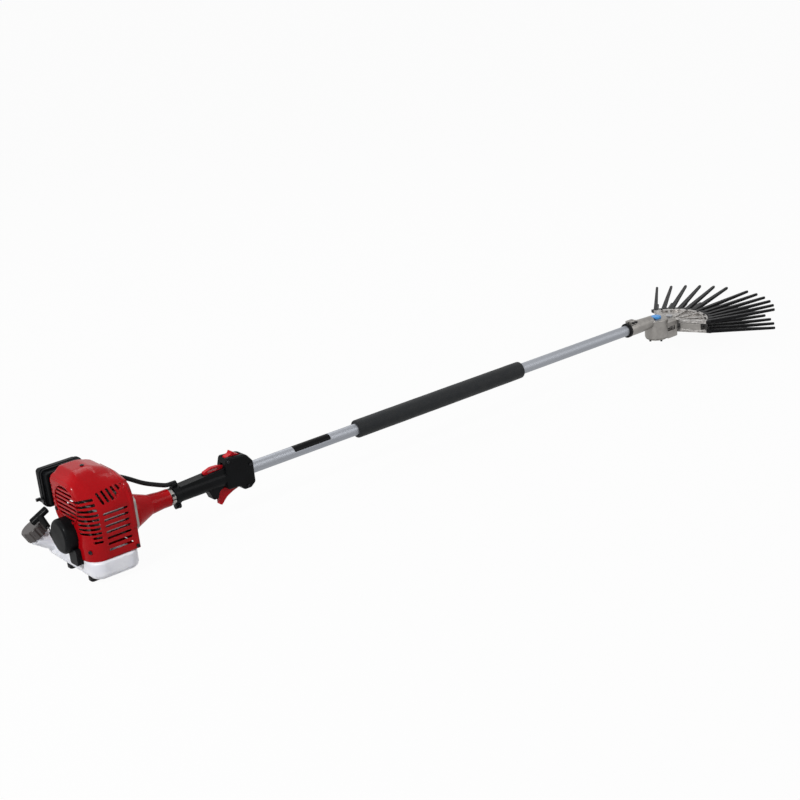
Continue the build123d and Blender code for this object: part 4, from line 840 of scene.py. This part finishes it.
# %% [markdown]
# ## Skirts of the lower hand
# An upright cast skirt stands along each straight edge of the lower carrier and closes the gap
# below the upper one. It is a plain web, so it is drawn as a box along the edge, with its
# edges rounded by a modifier, and it swings with the lower hand.

# %% Skirts
PIVOT_X = 1590.0
FAN_HALF = math.radians(66.5)
SKIRT_FROM, SKIRT_TO = 30.0, 88.0
SKIRT_LOW, SKIRT_HIGH = -38.3, -21.4
SKIRT_OUTSIDE, SKIRT_INSIDE = 0.4, 5.0
skirt_points = []
skirt_faces = []
for side in (-1, 1):
    out = Vector((math.cos(FAN_HALF), side * math.sin(FAN_HALF), 0.0))
    inward = Vector((math.sin(FAN_HALF), -side * math.cos(FAN_HALF), 0.0))
    first = len(skirt_points)
    ends = [(SKIRT_FROM, SKIRT_OUTSIDE), (SKIRT_TO, SKIRT_OUTSIDE)]
    ends += [(SKIRT_TO, SKIRT_INSIDE), (SKIRT_FROM, SKIRT_INSIDE)]
    for z in (SKIRT_LOW, SKIRT_HIGH):
        for reach, depth in ends:
            spot = out * reach + inward * depth
            skirt_points.append(on_pole(PIVOT_X + spot.x, spot.y, z))
    quads = [(3, 2, 1, 0), (4, 5, 6, 7), (0, 1, 5, 4), (1, 2, 6, 5), (2, 3, 7, 6), (3, 0, 4, 7)]
    for quad in quads:
        skirt_faces.append(tuple(first + corner for corner in (quad if side < 0 else quad[::-1])))
skirt_mesh = bpy.data.meshes.new("skirts")
skirt_mesh.from_pydata(skirt_points, [], skirt_faces)
skirts = new_piece("lower_hand_skirts", skirt_mesh)
soften = skirts.modifiers.new("soften", "BEVEL")
soften.width = 1.2 * MM
soften.segments = 3
rounded_skirts = plain_mesh(skirts)
skirts.modifiers.remove(soften)
skirts.data = rounded_skirts
rounded_skirts.materials.append(cast_alloy)
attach(skirts, "lower_hand")
print("skirt faces", len(rounded_skirts.polygons))

# %% [markdown]
# ## Film on the pole
# A strip of black vinyl film is stuck along the pole between the handle and the grip. It is
# thinner than paper, so it is a curved grid just above the tube with its corners rounded,
# thickened by a modifier, and left plain.

# %% Film finish


def black_vinyl_film():
    """Calendered vinyl: smooth black with faint scuffs along the pole."""
    material, tree, shader, place = open_finish(
        "black_vinyl_film", Roughness=0.35, IOR=1.5, Specular_IOR_Level=0.06
    )
    stretched = add(tree, "ShaderNodeMapping", inputs={"Vector": place, "Scale": (0.1, 1.0, 1.0)})
    scuffs = tint(tree, shader, stretched.outputs["Vector"], "#09090a", "#121315", 6.0)
    dull(tree, shader, scuffs, 0.3, 0.46)
    return material


film_black = black_vinyl_film()
print("film finish ready")

# %% Film
FILM_FROM, FILM_TO = 317.0, 419.0
FILM_MIDDLE = math.radians(117.0)
FILM_HALF_ARC = math.radians(47.0)
FILM_CORNER = 2.0
FILM_ROWS, FILM_STEPS = 48, 24
FILM_GAP = 0.02
film_reach = tube_radius / MM + FILM_GAP
film_points = []
for row in range(FILM_ROWS + 1):
    along = FILM_FROM + (FILM_TO - FILM_FROM) * row / FILM_ROWS
    inside = min(along - FILM_FROM, FILM_TO - along, FILM_CORNER)
    pinch = FILM_CORNER - math.sqrt(max(0.0, FILM_CORNER**2 - (FILM_CORNER - inside) ** 2))
    half_arc = FILM_HALF_ARC - pinch * MM / tube_radius
    for step in range(FILM_STEPS + 1):
        angle = FILM_MIDDLE + half_arc * (2 * step / FILM_STEPS - 1)
        film_points.append(on_pole(along, film_reach * math.cos(angle), film_reach * math.sin(angle)))
wide = FILM_STEPS + 1
film_faces = []
for row in range(FILM_ROWS):
    for step in range(FILM_STEPS):
        corner = row * wide + step
        film_faces.append((corner, corner + 1, corner + wide + 1, corner + wide))
film_mesh = bpy.data.meshes.new("film")
film_mesh.from_pydata(film_points, [], film_faces)
film = new_piece("pole_film", film_mesh)
wall = film.modifiers.new("wall", "SOLIDIFY")
wall.thickness = 0.12 * MM
wall.offset = 1.0
solid_film = plain_mesh(film)
film.modifiers.remove(wall)
film.data = solid_film
solid_film.materials.append(film_black)
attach(film, "frame")
print("film faces", len(solid_film.polygons))

# %% [markdown]
# ## Floor, light and camera
# The tool stands on a plain white sweep. The floor glows white to the camera, also in
# reflections, and still takes a soft shadow. The light that the sky gives is strong overhead and
# weak at the horizon, so that the dark plastics stay dark on their sides. A small lamp behind the
# engine lights its rear wall, as in the photograph, and two broad lamps fill in the other sides.

# %% Floor
WHITE = (1.0, 1.0, 1.0, 1.0)
FLOOR_SIZE = 120.0
FLOOR_GREY = (0.5, 0.5, 0.5, 1.0)
FLOOR_GLOW = 0.96


def seen_straight(tree):
    """Socket that is 1 where the camera sees a surface directly, in a reflection or through glass."""
    ray = add(tree, "ShaderNodeLightPath").outputs
    larger = {"operation": "MAXIMUM"}
    either = add(tree, "ShaderNodeMath", larger, {0: ray["Is Camera Ray"], 1: ray["Is Glossy Ray"]})
    seen = add(tree, "ShaderNodeMath", larger, {0: either.outputs[0], 1: ray["Is Transmission Ray"]})
    return seen.outputs[0]


floor_mesh = bpy.data.meshes.new("floor")
half = FLOOR_SIZE / 2
floor_corners = [(-half, -half, 0), (half, -half, 0), (half, half, 0), (-half, half, 0)]
floor_mesh.from_pydata(floor_corners, [], [(0, 1, 2, 3)])
floor = new_piece("floor", floor_mesh)
floor_paper = bpy.data.materials.new("white_sweep")
floor_paper.use_nodes = True
paper_tree = floor_paper.node_tree
paper_tree.nodes.clear()
paper_seen = seen_straight(paper_tree)
paper_matte = add(paper_tree, "ShaderNodeBsdfDiffuse", inputs={"Color": FLOOR_GREY})
paper_glow = add(paper_tree, "ShaderNodeEmission", inputs={"Color": WHITE, "Strength": 1.0})
paper_share = add(paper_tree, "ShaderNodeMath", {"operation": "MULTIPLY"}, {0: paper_seen, 1: FLOOR_GLOW})
paper_mix = add(
    paper_tree,
    "ShaderNodeMixShader",
    inputs={0: paper_share.outputs[0], 1: paper_matte.outputs[0], 2: paper_glow.outputs[0]},
)
add(paper_tree, "ShaderNodeOutputMaterial", inputs={"Surface": paper_mix.outputs[0]})
floor_mesh.materials.append(floor_paper)
print("floor", FLOOR_SIZE, "m wide")

# %% Sky
SKY_WEAK, SKY_STRONG = 0.08, 0.6
WEAK_BELOW, STRONG_ABOVE = 0.05, 0.9
world = bpy.data.worlds.new("studio")
bpy.context.scene.world = world
world.use_nodes = True
sky = world.node_tree
sky.nodes.clear()
sky_way = add(sky, "ShaderNodeTexCoord")
sky_parts = add(sky, "ShaderNodeSeparateXYZ", inputs={0: sky_way.outputs["Generated"]})
sky_span = {"From Min": WEAK_BELOW, "From Max": STRONG_ABOVE, "To Min": SKY_WEAK, "To Max": SKY_STRONG}
sky_rise = add(sky, "ShaderNodeMapRange", inputs={"Value": sky_parts.outputs["Z"], **sky_span})
sky_soft = add(
    sky, "ShaderNodeBackground", inputs={"Color": WHITE, "Strength": sky_rise.outputs["Result"]}
)
sky_white = add(sky, "ShaderNodeBackground", inputs={"Color": WHITE, "Strength": 1.0})
sky_mix = add(
    sky,
    "ShaderNodeMixShader",
    inputs={0: seen_straight(sky), 1: sky_soft.outputs[0], 2: sky_white.outputs[0]},
)
add(sky, "ShaderNodeOutputWorld", inputs={"Surface": sky_mix.outputs[0]})
print("sky gives", SKY_WEAK, "at the horizon and", SKY_STRONG, "overhead")

# %% Lamps


def lamp(name, place, target, size, power):
    """Square area lamp at a place, aimed at a target, both in metres."""
    light = bpy.data.lights.new(name, "AREA")
    light.size = size
    light.energy = power
    thing = new_piece(name, light)
    thing.location = place
    thing.rotation_euler = (Vector(target) - Vector(place)).to_track_quat("-Z", "Y").to_euler()
    print(name, power, "W,", size, "m wide")


lamp("key_lamp", (-3.4, -0.9, 2.2), (-0.8, 0.0, 0.1), size=0.6, power=85.0)
lamp("fill_lamp", (1.8, -3.0, 2.2), (0.5, 0.0, 0.1), size=2.0, power=36.0)
lamp("rim_lamp", (0.4, 2.2, 3.2), (0.0, 0.0, 0.1), size=2.0, power=45.0)

# %% [markdown]
# ## Camera
# The photograph was taken from behind and to the right of the engine, a little above the pole,
# with a short telephoto. The place and direction below were worked out from the edges of the
# engine and the lines of the pole.

# %% Camera
CAMERA_AT = (-1392.9, -2720.3, 1194.7)
CAMERA_LOOKS = Vector((0.566, 0.7581, -0.3239)).normalized()
CAMERA_ROLL = math.radians(-6.09)
CAMERA_LENS, SENSOR_WIDTH = 67.5, 36.0
SEES_TO = 300.0
sideways = CAMERA_LOOKS.cross(Vector((0, 0, 1))).normalized()
upright = sideways.cross(CAMERA_LOOKS)
camera_right = math.cos(CAMERA_ROLL) * sideways + math.sin(CAMERA_ROLL) * upright
camera_up = camera_right.cross(CAMERA_LOOKS)
camera_data = bpy.data.cameras.new("photo_camera")
camera_data.lens = CAMERA_LENS
camera_data.sensor_width = SENSOR_WIDTH
camera_data.clip_end = SEES_TO
camera = new_piece("photo_camera", camera_data)
turn = Matrix((camera_right, camera_up, -CAMERA_LOOKS)).transposed()
camera.matrix_world = Matrix.Translation(on_pole(*CAMERA_AT)) @ turn.to_4x4()
bpy.context.scene.camera = camera
bpy.context.scene.view_settings.view_transform = "Standard"
print("camera at", [round(part, 3) for part in camera.matrix_world.translation])
